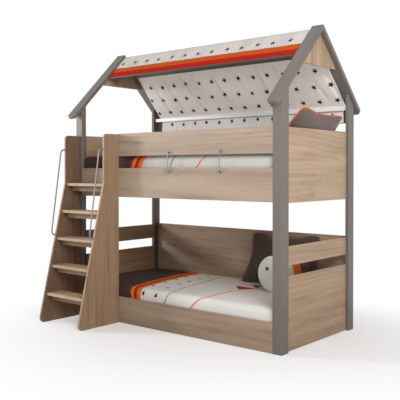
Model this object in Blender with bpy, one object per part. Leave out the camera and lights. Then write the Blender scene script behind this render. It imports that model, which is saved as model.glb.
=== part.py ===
"""A house-shaped bunk bed: two bunks in a post frame, a stair, a cloth roof and loose bedding."""
import bpy
import bmesh
from math import asin, atan2, cos, pi, radians, sin, tan
from mathutils import Vector
from mathutils.bvhtree import BVHTree

# Driving dimensions, in metres. X runs along the bed, Y from its front to its wall side, Z up.
BED_LENGTH = 2.080
BED_DEPTH = 1.007
ROOF_HEIGHT = 2.266
ROOF_PITCH = radians(45)

# Clearances shared by all pieces
CLEARANCE = 0.0003
SOFT_CLEARANCE = 0.0006
PROBE_SPACING = 0.004
FLOOR_GAP = 0.003
EDGE_ROUND = 0.0015
CUT_OVERRUN = 0.006

# Posts and roof frame
POST_BOARD = 0.028
FRONT_POST_WIDTH = 0.074
FRONT_POST_DEPTH = 0.085
REAR_POST_DEPTH = 0.082
RAFTER_BOARD = 0.028
RAFTER_WIDTH = 0.094
RAFTER_OVERHANG = 0.022
RAFTER_CORNER = 0.028
EAVE_REACH = 0.085
GABLE_BOARD = 0.018
GABLE_DROP = 0.291
RIDGE_BOARD = 0.018
RIDGE_FRONT_WIDTH = 0.278
RIDGE_REAR_WIDTH = 0.225
EAVE_RAIL_BOARD = 0.018
EAVE_RAIL_HEIGHT = 0.030
EAVE_RAIL_DROP = 0.0915
EAVE_RAIL_INSET = 0.044
EAVE_BOARD = 0.018
EAVE_BOARD_RISE_SHARE = 0.41
EAVE_BOARD_SETBACK = 0.017
EAVE_BOARD_DROP = 0.025

# Bunks
RAIL_BOARD = 0.022
END_BOARD = 0.018
END_INSET = 0.020
BACK_INSET = 0.005
LOWER_RAIL_TOP = 0.208
LOWER_END_TOP = 0.507
LOWER_BACK_TOP = 0.718
END_SLAT_BOTTOM = 0.583
END_SLAT_TOP = 0.712
UPPER_END_BOTTOM_SHARE = 0.444
UPPER_RAIL_BOTTOM_SHARE = 0.447
UPPER_RAIL_TOP_SHARE = 0.549
GUARD_BOTTOM_SHARE = 0.5914
GUARD_TOP_SHARE = 0.6708

# Battens and slats under the mattresses
BATTEN_THICKNESS = 0.025
BATTEN_HEIGHT = 0.040
LOWER_BATTEN_RISE = 0.048
UPPER_BATTEN_RISE = 0.085
SLAT_COUNT = 13
SLAT_WIDTH = 0.070
SLAT_BOARD = 0.018
SLAT_SEAT = 0.003
SLAT_END_GAP = 0.003
FIRST_SLAT_INSET = 0.095

# Stair
STAIR_OFFSET = 0.040
STAIR_WIDTH = 0.486
STAIR_BOARD = 0.018
STAIR_TOP_DROP = 0.005
STAIR_HEAD_DEPTH = 0.160
STAIR_BEND_SHARE = 0.7465
STAIR_REACH = 0.418
STAIR_TOP_CORNER = 0.035
STAIR_TOE_CORNER = 0.040
TREAD_COUNT = 5
TREAD_RISE_SHARE = 0.14575
FIRST_TREAD_SHARE = 0.1561
TREAD_BOARD = 0.022
TREAD_DEPTH = 0.147
TREAD_SETBACK = 0.013
APRON_BOARD = 0.018
APRON_HEIGHT = 0.044
APRON_SETBACK = 0.055
STAIR_BOLT_RADIUS = 0.004
STAIR_BOLT_HEAD = 0.0015
STAIR_BOLT_FRONT_INSET = 0.015
STAIR_BOLT_REAR_INSET = 0.030

# Stair handrails, round bar let into the front edges of the stair's sides
HANDRAIL_RADIUS = 0.006
HANDRAIL_TOP_DROP = 0.119
HANDRAIL_BOTTOM_SHARE = 0.460
HANDRAIL_STANDOFF = 0.041
HANDRAIL_BEND = 0.033
HANDRAIL_BORE_DEPTH = 0.025
HANDRAIL_SCREW_SETBACK = 0.020
HANDRAIL_SCREW_RADIUS = 0.0035
HANDRAIL_SCREW_HEAD = 0.0015

# Tie rods between the upper rail and the guard
TIE_ROD_RADIUS = 0.004
TIE_ROD_FIRST = 0.512
TIE_ROD_PITCH = 0.493
TIE_ROD_INSET = 0.026
TIE_ROD_STANDOFF = 0.019
TIE_ROD_BEND = 0.009
FOOT_RADIUS = 0.013
FOOT_HEIGHT = 0.008

# Cloth roof
CLOTH_THICKNESS = 0.0025
CLOTH_DROP = 0.016
CLOTH_SIDE_GAP = 0.003
CLOTH_HEM_LIP = 0.006
CLOTH_FOLD = 0.006
CLOTH_SAG = 0.012
FOLD_PITCH = 0.240
CANOPY_TAIL = 0.025
VALANCE_DROP = 0.098
VALANCE_PLEAT = 0.010
VALANCE_PITCH = 0.075
VALANCE_LEFT_GAP = 0.070
VALANCE_RIGHT_GAP = 0.040

# Bedding
MATTRESS_END_GAP = 0.006
MATTRESS_SIDE_GAP = 0.030
MATTRESS_THICKNESS = 0.160
MATTRESS_ROUND = 0.025
DUVET_EDGE = 0.028
DUVET_CROWN = 0.010
DUVET_RIPPLE = 0.003
DUVET_RIPPLE_PITCH = 0.500
DUVET_FALL_SHARE = 0.7
DUVET_SHOULDER = 0.050
DUVET_TUCK = 0.100
DUVET_SKIRT = 0.012
DUVET_SIDE_GAP = 0.008
DUVET_END_GAP = 0.006
DUVET_END_ROUND = 0.045
LOWER_PILLOW_WIDTH = 0.660
LOWER_PILLOW_HEIGHT = 0.412
LOWER_PILLOW_CROWN = 0.105
LOWER_PILLOW_RIB = 0.004
LOWER_PILLOW_FROM_END = 0.565
LOWER_PILLOW_SPREAD_SHARE = 0.06
LOWER_PILLOW_YAW = radians(8)
LOWER_PILLOW_LEAN = radians(14)
UPPER_PILLOW_WIDTH = 0.610
UPPER_PILLOW_HEIGHT = 0.360
UPPER_PILLOW_CROWN = 0.130
UPPER_PILLOW_SLUMP_SHARE = 0.117
UPPER_PILLOW_BACK_GAP = 0.118
UPPER_PILLOW_LEAN = radians(40)
PILLOW_DRAW = 0.014
BOLSTER_RADIUS = 0.140
BOLSTER_LENGTH = 0.330
BOLSTER_ROUND = 0.016
BOLSTER_SEAM = 0.003
BOLSTER_FROM_END = 0.395
BOLSTER_BACK_GAP = 0.170

# Places worked out from the sizes above
HALF_LENGTH = BED_LENGTH / 2
RIDGE_Y = BED_DEPTH / 2
FRONT_Y = (STAIR_REACH - BED_DEPTH - EAVE_REACH) / 2
RAFTER_INNER_X = HALF_LENGTH + RAFTER_OVERHANG - RAFTER_WIDTH
FRONT_SPAN_X = HALF_LENGTH - FRONT_POST_WIDTH - CLEARANCE
BACK_SPAN_X = HALF_LENGTH - POST_BOARD - CLEARANCE
END_INNER_X = HALF_LENGTH - END_INSET - END_BOARD
END_FRONT_Y = FRONT_POST_DEPTH + CLEARANCE
END_REAR_Y = BED_DEPTH - REAR_POST_DEPTH - CLEARANCE
BACK_INNER_Y = BED_DEPTH - BACK_INSET - RAIL_BOARD
STAIR_LEFT_X = STAIR_OFFSET - HALF_LENGTH
STAIR_RIGHT_X = STAIR_LEFT_X + STAIR_WIDTH
UPPER_END_BOTTOM = ROOF_HEIGHT * UPPER_END_BOTTOM_SHARE
UPPER_RAIL_BOTTOM = ROOF_HEIGHT * UPPER_RAIL_BOTTOM_SHARE
UPPER_RAIL_TOP = ROOF_HEIGHT * UPPER_RAIL_TOP_SHARE
GUARD_BOTTOM = ROOF_HEIGHT * GUARD_BOTTOM_SHARE
GUARD_TOP = ROOF_HEIGHT * GUARD_TOP_SHARE
GABLE_BOTTOM = ROOF_HEIGHT - GABLE_DROP
STAIR_TOP = GUARD_TOP - STAIR_TOP_DROP
STAIR_BEND_HEIGHT = STAIR_TOP * STAIR_BEND_SHARE
TREAD_RISE = STAIR_TOP * TREAD_RISE_SHARE
FIRST_TREAD_TOP = STAIR_TOP * FIRST_TREAD_SHARE
HANDRAIL_TOP = STAIR_TOP - HANDRAIL_TOP_DROP
HANDRAIL_BOTTOM = STAIR_TOP * HANDRAIL_BOTTOM_SHARE
MATTRESS_X = END_INNER_X - MATTRESS_END_GAP
MATTRESS_YS = (RAIL_BOARD + MATTRESS_SIDE_GAP, BACK_INNER_Y - MATTRESS_SIDE_GAP)

# Looks: colour, roughness, metallic
OAK = ((0.40, 0.31, 0.23), 0.55, 0.0)
OAK_SHADE = ((0.31, 0.23, 0.17), 0.58, 0.0)
PAINTED_RAIL = ((0.80, 0.80, 0.82), 0.45, 0.0)
STEEL = ((0.42, 0.42, 0.43), 0.35, 0.9)
BRIGHT_STEEL = ((0.75, 0.75, 0.76), 0.25, 0.9)
DARK_STEEL = ((0.05, 0.045, 0.04), 0.5, 0.6)
COTTON = ((0.60, 0.59, 0.57), 0.9, 0.0)
TICKING = ((0.78, 0.77, 0.74), 0.9, 0.0)
BEDDING = ((0.66, 0.65, 0.62), 0.9, 0.0)
BROWN_CORD = ((0.055, 0.036, 0.034), 0.95, 0.0)
TAUPE = ((0.15, 0.12, 0.11), 0.95, 0.0)
ORANGE = ((0.62, 0.14, 0.04), 0.85, 0.0)

# Start from an empty scene, with one empty that carries the whole bed
for old in list(bpy.data.objects):
    bpy.data.objects.remove(old, do_unlink=True)
bed = bpy.data.objects.new("bed", None)
bed.location = (0, FRONT_Y, 0)
bpy.context.scene.collection.objects.link(bed)


# Shared modelling helpers
def add_object(name, data, look):
    """Put a piece into the bed with a material of its own."""
    colour, roughness, metallic = look
    material = bpy.data.materials.new(name)
    material.use_nodes = True
    shader = material.node_tree.nodes["Principled BSDF"]
    shader.inputs["Base Color"].default_value = (*colour, 1)
    shader.inputs["Roughness"].default_value = roughness
    shader.inputs["Metallic"].default_value = metallic
    data.materials.append(material)
    piece = bpy.data.objects.new(name, data)
    piece.parent = bed
    bpy.context.scene.collection.objects.link(piece)
    return piece


def add_shape(name, shape, look, edge=0.0, segments=1, smooth=False):
    """Make a closed bmesh a piece, with its edges rounded by the given width."""
    bmesh.ops.recalc_face_normals(shape, faces=shape.faces)
    if shape.calc_volume(signed=True) < 0:
        bmesh.ops.reverse_faces(shape, faces=shape.faces)
    mesh = bpy.data.meshes.new(name)
    shape.to_mesh(mesh)
    shape.free()
    piece = add_object(name, mesh, look)
    if edge:
        bevel = piece.modifiers.new("rounded edges", "BEVEL")
        bevel.width = edge
        bevel.segments = segments
        bevel.limit_method = "ANGLE"
        bevel.angle_limit = radians(40)
    if smooth:
        mesh.shade_smooth()
        mesh.set_sharp_from_angle(angle=radians(40))
    return piece


def loft(rings, shape=None, capped=True):
    """Skin a row of like rings and cap its ends, or close the row on itself."""
    shape = shape or bmesh.new()
    rows = [[shape.verts.new(point) for point in ring] for ring in rings]
    following_rows = rows[1:] if capped else rows[1:] + rows[:1]
    for row, following in zip(rows, following_rows):
        for i in range(len(row)):
            j = (i + 1) % len(row)
            shape.faces.new((row[i], row[j], following[j], following[i]))
    if capped:
        shape.faces.new(rows[0])
        shape.faces.new(rows[-1])
    return shape


def block(xs, ys, zs, shape=None):
    """A box between two places on each axis."""
    outline = ((xs[0], ys[0]), (xs[1], ys[0]), (xs[1], ys[1]), (xs[0], ys[1]))
    return loft([[(x, y, z) for x, y in outline] for z in zs], shape)


def add_board(name, xs, ys, zs, look=OAK, edge=EDGE_ROUND, segments=1):
    """A plain board, its origin at its middle."""
    middle = Vector((sum(xs) / 2, sum(ys) / 2, sum(zs) / 2))
    spans = [(low - centre, high - centre) for (low, high), centre in zip((xs, ys, zs), middle)]
    piece = add_shape(name, block(*spans), look, edge, segments)
    piece.location = middle
    return piece


def fillet(before, corner, after, radius, steps):
    """The arc that rounds a corner, tangent to both of its sides."""
    to_before = (before - corner).normalized()
    to_after = (after - corner).normalized()
    half = to_before.angle(to_after) / 2
    centre = corner + (to_before + to_after).normalized() * radius / sin(half)
    start = corner + to_before * radius / tan(half) - centre
    end = corner + to_after * radius / tan(half) - centre
    turn = pi - 2 * half
    shares = [step / steps for step in range(steps + 1)]
    return [centre + (start * sin(turn - turn * s) + end * sin(turn * s)) / sin(turn) for s in shares]


def rounded(corners, closed, steps=5):
    """A line through (point, radius) corners, each rounded where its radius isn't zero."""
    points = []
    for i, (corner, radius) in enumerate(corners):
        inner = closed or 0 < i < len(corners) - 1
        if radius and inner:
            before = corners[i - 1][0]
            after = corners[(i + 1) % len(corners)][0]
            points += fillet(before, corner, after, radius, steps)
        else:
            points.append(corner)
    return points


def add_bar(name, points, radii, look):
    """A bent round bar with flat ends, along a line of points with a radius each."""
    line = bpy.data.curves.new(name, "CURVE")
    line.dimensions = "3D"
    spline = line.splines.new("POLY")
    spline.points.add(len(points) - 1)
    for knot, point, radius in zip(spline.points, points, radii):
        knot.co = (*point, 1)
        knot.radius = radius
    spline.use_smooth = True
    line.bevel_depth = 1
    line.bevel_resolution = 4
    line.use_fill_caps = True
    return add_object(name, line, look)


def turned(profile, steps, place, shape=None, capped=True):
    """Turn a profile of (radius, distance) points about an axis; place maps it into the bed."""
    angles = [2 * pi * step / steps for step in range(steps)]
    rings = [[place(r * cos(a), r * sin(a), along) for a in angles] for r, along in profile]
    return loft(rings, shape, capped)


def slope_point(side, down, depth):
    """A place (y, z) down the front (-1) or rear (1) slope, a depth below the rafters' top."""
    y = RIDGE_Y + side * (down * cos(ROOF_PITCH) - depth * sin(ROOF_PITCH))
    z = ROOF_HEIGHT - down * sin(ROOF_PITCH) - depth * cos(ROOF_PITCH)
    return y, z


def slope_height(y, depth):
    """Height above y of the plane a depth below the rafters' top."""
    return ROOF_HEIGHT - depth / cos(ROOF_PITCH) - abs(y - RIDGE_Y) * tan(ROOF_PITCH)


def surface_of(piece):
    """World points and faces of a piece as it is modelled."""
    shape = piece.evaluated_get(bpy.context.evaluated_depsgraph_get())
    mesh = shape.to_mesh()
    points = [piece.matrix_world @ vertex.co for vertex in mesh.vertices]
    faces = [tuple(face.vertices) for face in mesh.polygons]
    shape.to_mesh_clear()
    return points, faces


def probes(points, faces):
    """Points all along the edges of a surface, and in the middle of its faces."""
    found = []
    edges = set()
    for face in faces:
        corners = [points[i] for i in face]
        found.append(sum(corners, Vector()) / len(corners))
        edges |= {tuple(sorted(edge)) for edge in zip(face, face[1:] + face[:1])}
    for first, second in edges:
        count = int((points[second] - points[first]).length / PROBE_SPACING) + 1
        found += [points[first].lerp(points[second], step / count) for step in range(count + 1)]
    return found


def settle(piece, supports, direction):
    """Move a soft piece along a direction until it lies on its supports."""
    bpy.context.view_layer.update()
    points, faces = surface_of(piece)
    tree = BVHTree.FromPolygons(points, faces)
    gaps = []
    for support in supports:
        their_points, their_faces = surface_of(support)
        their_tree = BVHTree.FromPolygons(their_points, their_faces)
        hits = [their_tree.ray_cast(probe, direction) for probe in probes(points, faces)]
        hits += [tree.ray_cast(probe, -direction) for probe in probes(their_points, their_faces)]
        gaps += [hit[3] for hit in hits if hit[3] is not None]
    piece.location += direction * (min(gaps) - SOFT_CLEARANCE)
    bpy.context.view_layer.update()


# Posts: the front ones are an L of two boards glued into one, the rear ones plain boards.
# Their tops are cut to the slope and carry the rafters.
def front_post(name, side):
    outer = side * HALF_LENGTH
    corner = outer - side * POST_BOARD
    inner = outer - side * FRONT_POST_WIDTH
    outline = (
        (outer, 0), (inner, 0), (inner, POST_BOARD),
        (corner, POST_BOARD), (corner, FRONT_POST_DEPTH), (outer, FRONT_POST_DEPTH),
    )
    foot = [(x, y, 0) for x, y in outline]
    head = [(x, y, slope_height(y, RAFTER_BOARD + CLEARANCE)) for x, y in outline]
    add_shape(name, loft([foot, head]), OAK, EDGE_ROUND)


def rear_post(name, side):
    outer = side * HALF_LENGTH
    inner = outer - side * POST_BOARD
    front = BED_DEPTH - REAR_POST_DEPTH
    outline = ((outer, front), (inner, front), (inner, BED_DEPTH), (outer, BED_DEPTH))
    foot = [(x, y, 0) for x, y in outline]
    head = [(x, y, slope_height(y, RAFTER_BOARD + CLEARANCE)) for x, y in outline]
    add_shape(name, loft([foot, head]), OAK, EDGE_ROUND)


front_post("post_front_left", -1)
front_post("post_front_right", 1)
rear_post("post_rear_left", -1)
rear_post("post_rear_right", 1)


# Roof boards lie flat in the slope and meet their partner in a plumb mitre at the ridge
def sloped_board(name, side, x_low, x_high, down_end, depth, thickness, corner_radius):
    head = CLEARANCE / 2 / cos(ROOF_PITCH)
    layers = []
    for layer_depth in (depth, depth + thickness):
        down_start = layer_depth * tan(ROOF_PITCH) + head
        corners = [
            (Vector((x_low, down_start)), 0), (Vector((x_high, down_start)), 0),
            (Vector((x_high, down_end)), corner_radius), (Vector((x_low, down_end)), corner_radius),
        ]
        outline = rounded(corners, closed=True)
        layers.append([(x, *slope_point(side, down, layer_depth)) for x, down in outline])
    add_shape(name, loft(layers), OAK, EDGE_ROUND)


RAFTER_DOWN = (RIDGE_Y + EAVE_REACH) / cos(ROOF_PITCH)
for row, slope in (("front", -1), ("rear", 1)):
    for hand, outer_sign in (("left", -1), ("right", 1)):
        edges = sorted((outer_sign * RAFTER_INNER_X, outer_sign * (HALF_LENGTH + RAFTER_OVERHANG)))
        sloped_board(f"rafter_{row}_{hand}", slope, *edges, RAFTER_DOWN, 0, RAFTER_BOARD, RAFTER_CORNER)

# Two wide boards lie between the rafters at the ridge, let down so the cloth on them stays flush
RIDGE_DROP = CLOTH_DROP + CLOTH_THICKNESS + CLEARANCE
RIDGE_X = RAFTER_INNER_X - CLEARANCE
FRONT_BOARD_DOWN = RIDGE_DROP * tan(ROOF_PITCH) + RIDGE_FRONT_WIDTH
REAR_BOARD_DOWN = RIDGE_DROP * tan(ROOF_PITCH) + RIDGE_REAR_WIDTH
sloped_board("purlin_front", -1, -RIDGE_X, RIDGE_X, FRONT_BOARD_DOWN, RIDGE_DROP, RIDGE_BOARD, 0)
sloped_board("purlin_rear", 1, -RIDGE_X, RIDGE_X, REAR_BOARD_DOWN, RIDGE_DROP, RIDGE_BOARD, 0)


# Gable panels close the top of each end, under the middle of the rafters
def gable(name, side):
    apex = slope_height(RIDGE_Y, RAFTER_BOARD + CLEARANCE)
    half = (apex - GABLE_BOTTOM) / tan(ROOF_PITCH)
    outline = ((RIDGE_Y, apex), (RIDGE_Y - half, GABLE_BOTTOM), (RIDGE_Y + half, GABLE_BOTTOM))
    middle = side * (RAFTER_INNER_X + RAFTER_WIDTH / 2)
    faces = (middle - GABLE_BOARD / 2, middle + GABLE_BOARD / 2)
    add_shape(name, loft([[(x, y, z) for y, z in outline] for x in faces]), OAK, EDGE_ROUND)


gable("gable_left", -1)
gable("gable_right", 1)

# A slim painted rail ties the rear posts and holds the cloth's lower edge
EAVE_RAIL_REAR = BED_DEPTH - EAVE_RAIL_INSET
EAVE_RAIL_TOP = slope_height(EAVE_RAIL_REAR, 0) - EAVE_RAIL_DROP
EAVE_RAIL_Y = (EAVE_RAIL_REAR - EAVE_RAIL_BOARD, EAVE_RAIL_REAR)
EAVE_RAIL_Z = (EAVE_RAIL_TOP - EAVE_RAIL_HEIGHT, EAVE_RAIL_TOP)
add_board("eave_rail", (-BACK_SPAN_X, BACK_SPAN_X), EAVE_RAIL_Y, EAVE_RAIL_Z, PAINTED_RAIL)

# A taller board behind the cloth fills most of the way from the back panel to that rail
EAVE_BOARD_FRONT = EAVE_RAIL_REAR + EAVE_BOARD_SETBACK
EAVE_BOARD_TOP = EAVE_RAIL_TOP - EAVE_BOARD_DROP
EAVE_BOARD_Y = (EAVE_BOARD_FRONT, EAVE_BOARD_FRONT + EAVE_BOARD)
EAVE_BOARD_BOTTOM = GUARD_TOP + (EAVE_BOARD_TOP - GUARD_TOP) * EAVE_BOARD_RISE_SHARE
EAVE_BOARD_Z = (EAVE_BOARD_BOTTOM, EAVE_BOARD_TOP)
add_board("eave_board", (-BACK_SPAN_X, BACK_SPAN_X), EAVE_BOARD_Y, EAVE_BOARD_Z)

# Front boards run between the front posts, ends between the posts, backs between the rear posts
FRONT_XS = (-FRONT_SPAN_X, FRONT_SPAN_X)
FRONT_YS = (0, RAIL_BOARD)
BACK_XS = (-BACK_SPAN_X, BACK_SPAN_X)
BACK_YS = (BACK_INNER_Y, BACK_INNER_Y + RAIL_BOARD)
END_YS = (END_FRONT_Y, END_REAR_Y)
GUARD_XS = (STAIR_RIGHT_X - STAIR_BOARD, FRONT_SPAN_X)
add_board("lower_rail_front", FRONT_XS, FRONT_YS, (FLOOR_GAP, LOWER_RAIL_TOP), OAK_SHADE)
add_board("lower_back_panel", BACK_XS, BACK_YS, (FLOOR_GAP, LOWER_BACK_TOP), OAK_SHADE)
add_board("upper_rail_front", FRONT_XS, FRONT_YS, (UPPER_RAIL_BOTTOM, UPPER_RAIL_TOP))
upper_back = add_board("upper_back_panel", BACK_XS, BACK_YS, (UPPER_RAIL_BOTTOM, GUARD_TOP))
add_board("upper_guard_front", GUARD_XS, FRONT_YS, (GUARD_BOTTOM, GUARD_TOP))
lower_back = bpy.data.objects["lower_back_panel"]
for hand, outer_sign in (("left", -1), ("right", 1)):
    end_xs = sorted((outer_sign * END_INNER_X, outer_sign * (END_INNER_X + END_BOARD)))
    add_board(f"lower_end_{hand}", end_xs, END_YS, (FLOOR_GAP, LOWER_END_TOP), OAK_SHADE)
    add_board(f"lower_end_slat_{hand}", end_xs, END_YS, (END_SLAT_BOTTOM, END_SLAT_TOP), OAK_SHADE)
    add_board(f"upper_end_{hand}", end_xs, END_YS, (UPPER_END_BOTTOM, GUARD_TOP))
upper_end_right = bpy.data.objects["upper_end_right"]


# Mattress base of one bunk: two battens along the rail and the back, with slats let into them
def slat_base(level, rail_bottom, batten_rise):
    low = rail_bottom + batten_rise
    batten_zs = (low, low + BATTEN_HEIGHT)
    front_ys = (RAIL_BOARD + CLEARANCE, RAIL_BOARD + CLEARANCE + BATTEN_THICKNESS)
    rear_ys = (BACK_INNER_Y - CLEARANCE - BATTEN_THICKNESS, BACK_INNER_Y - CLEARANCE)
    battens = block(FRONT_XS, front_ys, batten_zs)
    block(FRONT_XS, rear_ys, batten_zs, battens)
    base = add_shape(f"{level}_slat_base", battens, OAK_SHADE)
    slats = bmesh.new()
    slat_ys = (RAIL_BOARD + SLAT_END_GAP, BACK_INNER_Y - SLAT_END_GAP)
    slat_top = low + BATTEN_HEIGHT - SLAT_SEAT + SLAT_BOARD
    first = FIRST_SLAT_INSET - HALF_LENGTH + SLAT_WIDTH / 2
    pitch = -2 * first / (SLAT_COUNT - 1)
    for i in range(SLAT_COUNT):
        middle = first + i * pitch
        xs = (middle - SLAT_WIDTH / 2, middle + SLAT_WIDTH / 2)
        block(xs, slat_ys, (slat_top - SLAT_BOARD, slat_top), slats)
    slat_row = add_shape(f"{level}_slat_row", slats, OAK_SHADE)
    slat_row.hide_render = True
    slat_row.display_type = "WIRE"
    joint = base.modifiers.new("slats", "BOOLEAN")
    joint.operation = "UNION"
    joint.object = slat_row
    return slat_top + CLEARANCE


LOWER_BED_Z = slat_base("lower", FLOOR_GAP, LOWER_BATTEN_RISE)
UPPER_BED_Z = slat_base("upper", UPPER_RAIL_BOTTOM, UPPER_BATTEN_RISE)

# Stair sides: upright at the head, then slanting out to a round toe on the floor.
# The slanting edge leaves the bend and touches the toe's circle, whose front is the stair's reach.
BEND = Vector((-STAIR_HEAD_DEPTH, STAIR_BEND_HEIGHT))
TOE_CENTRE = Vector((STAIR_TOE_CORNER - STAIR_REACH, STAIR_TOE_CORNER))
TOE_SPAN = BEND - TOE_CENTRE
STAIR_LEAN = atan2(TOE_SPAN.y, TOE_SPAN.x) - asin(STAIR_TOE_CORNER / TOE_SPAN.length)


def stair_edge(z):
    """The stair side's front edge at a height."""
    below_bend = max(STAIR_BEND_HEIGHT - z, 0)
    return -STAIR_HEAD_DEPTH - below_bend / tan(STAIR_LEAN)


def cut_bore(panel, name, x, z):
    """A blind bore for a handrail's end, square into the panel's front edge."""
    edge_y = stair_edge(z)
    radius = HANDRAIL_RADIUS + CLEARANCE
    depths = (edge_y - CUT_OVERRUN, edge_y + HANDRAIL_BORE_DEPTH)

    def place(a, b, along):
        return x + a, along, z + b

    drill = add_shape(name, turned([(radius, depth) for depth in depths], 16, place), STEEL)
    drill.hide_render = True
    drill.display_type = "WIRE"
    cut = panel.modifiers.new(name, "BOOLEAN")
    cut.operation = "DIFFERENCE"
    cut.object = drill


def stair_side(hand, x_low):
    corners = [
        (Vector((-CLEARANCE, 0)), 0),
        (Vector((-CLEARANCE, STAIR_TOP)), 0),
        (Vector((-STAIR_HEAD_DEPTH, STAIR_TOP)), STAIR_TOP_CORNER),
        (BEND, 0),
        (Vector((stair_edge(0), 0)), STAIR_TOE_CORNER),
    ]
    outline = rounded(corners, closed=True, steps=6)
    faces = [[(x, y, z) for y, z in outline] for x in (x_low, x_low + STAIR_BOARD)]
    panel = add_shape(f"stair_side_{hand}", loft(faces), OAK_SHADE, EDGE_ROUND)
    middle = x_low + STAIR_BOARD / 2
    cut_bore(panel, f"bore_top_{hand}", middle, HANDRAIL_TOP)
    cut_bore(panel, f"bore_bottom_{hand}", middle, HANDRAIL_BOTTOM)
    handrail(hand, middle)


def handrail(hand, x):
    """Round bar from the head's bore, down before the edge, back into the lower bore."""
    top_y = stair_edge(HANDRAIL_TOP)
    bottom_y = stair_edge(HANDRAIL_BOTTOM)
    seat = HANDRAIL_BORE_DEPTH - CLEARANCE
    corners = [
        (Vector((x, top_y + seat, HANDRAIL_TOP)), 0),
        (Vector((x, top_y - HANDRAIL_STANDOFF, HANDRAIL_TOP)), HANDRAIL_BEND),
        (Vector((x, bottom_y - HANDRAIL_STANDOFF, HANDRAIL_BOTTOM)), HANDRAIL_BEND),
        (Vector((x, bottom_y + seat, HANDRAIL_BOTTOM)), 0),
    ]
    points = rounded(corners, closed=False)
    add_bar(f"handrail_{hand}", points, [HANDRAIL_RADIUS] * len(points), STEEL)


stair_side("left", STAIR_LEFT_X)
stair_side("right", STAIR_RIGHT_X - STAIR_BOARD)

# Treads between the stair's sides, each with a narrow apron board under it
TREAD_XS = (STAIR_LEFT_X + STAIR_BOARD + CLEARANCE, STAIR_RIGHT_X - STAIR_BOARD - CLEARANCE)
for i in range(TREAD_COUNT):
    tread_top = FIRST_TREAD_TOP + i * TREAD_RISE
    tread_bottom = tread_top - TREAD_BOARD
    tread_front = stair_edge(tread_top) + TREAD_SETBACK
    apron_top = tread_bottom - CLEARANCE
    apron_front = tread_front + APRON_SETBACK
    tread_ys = (tread_front, tread_front + TREAD_DEPTH)
    apron_ys = (apron_front, apron_front + APRON_BOARD)
    add_board(f"stair_tread_{i + 1}", TREAD_XS, tread_ys, (tread_bottom, tread_top))
    add_board(f"stair_apron_{i + 1}", TREAD_XS, apron_ys, (apron_top - APRON_HEIGHT, apron_top))

# Bolt heads at the top tread's ends, and small screws that lock the handrails in their bores
top_tread_z = tread_top - TREAD_BOARD / 2
bolt_places = {
    "front": tread_ys[0] + STAIR_BOLT_FRONT_INSET,
    "rear": tread_ys[1] - STAIR_BOLT_REAR_INSET,
}
screw_places = {"top": HANDRAIL_TOP, "bottom": HANDRAIL_BOTTOM}


def add_head(name, face_x, outward, y, z, radius, height):
    """A low domed head seated on an outer face of the stair."""
    def place(a, b, along):
        return face_x + outward * along, y + a, z + b

    crown_share = 0.65
    profile = ((radius, CLEARANCE), (radius * crown_share, CLEARANCE + height))
    add_shape(name, turned(profile, 10, place), DARK_STEEL)


for hand, face_x, outward in (("left", STAIR_LEFT_X, -1), ("right", STAIR_RIGHT_X, 1)):
    for spot, y in bolt_places.items():
        name = f"stair_bolt_{hand}_{spot}"
        add_head(name, face_x, outward, y, top_tread_z, STAIR_BOLT_RADIUS, STAIR_BOLT_HEAD)
    for spot, z in screw_places.items():
        name = f"handrail_screw_{hand}_{spot}"
        y = stair_edge(z) + HANDRAIL_SCREW_SETBACK
        add_head(name, face_x, outward, y, z, HANDRAIL_SCREW_RADIUS, HANDRAIL_SCREW_HEAD)

# Tie rods: bent steel bars, each end in a round foot that is screwed to the rail or the guard
TIE_LOW_Z = UPPER_RAIL_TOP - TIE_ROD_INSET
TIE_HIGH_Z = GUARD_BOTTOM + TIE_ROD_INSET
FOOT_PROFILE = (
    (CLEARANCE, FOOT_RADIUS), (FOOT_HEIGHT / 2, FOOT_RADIUS), (FOOT_HEIGHT, FOOT_RADIUS * 3 / 4),
    (FOOT_HEIGHT + CLEARANCE, TIE_ROD_RADIUS),
)
for i, hand in enumerate(("right", "left")):
    x = HALF_LENGTH - TIE_ROD_FIRST - i * TIE_ROD_PITCH
    low_foot = [(Vector((x, -out, TIE_LOW_Z)), radius) for out, radius in FOOT_PROFILE]
    high_foot = [(Vector((x, -out, TIE_HIGH_Z)), radius) for out, radius in FOOT_PROFILE]
    tie_corners = [
        (low_foot[-1][0], 0),
        (Vector((x, -TIE_ROD_STANDOFF, TIE_LOW_Z)), TIE_ROD_BEND),
        (Vector((x, -TIE_ROD_STANDOFF, TIE_HIGH_Z)), TIE_ROD_BEND),
        (high_foot[-1][0], 0),
    ]
    bar = [(point, TIE_ROD_RADIUS) for point in rounded(tie_corners, closed=False, steps=4)]
    line = low_foot[:-1] + bar + high_foot[-2::-1]
    add_bar(f"tie_rod_{hand}", *zip(*line), BRIGHT_STEEL)


# Mattresses and duvets
DUVET_X = MATTRESS_X - DUVET_END_GAP


def mattress(level, bottom):
    xs = (-MATTRESS_X, MATTRESS_X)
    zs = (bottom, bottom + MATTRESS_THICKNESS)
    return add_board(f"{level}_mattress", xs, MATTRESS_YS, zs, TICKING, MATTRESS_ROUND, 3)


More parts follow.
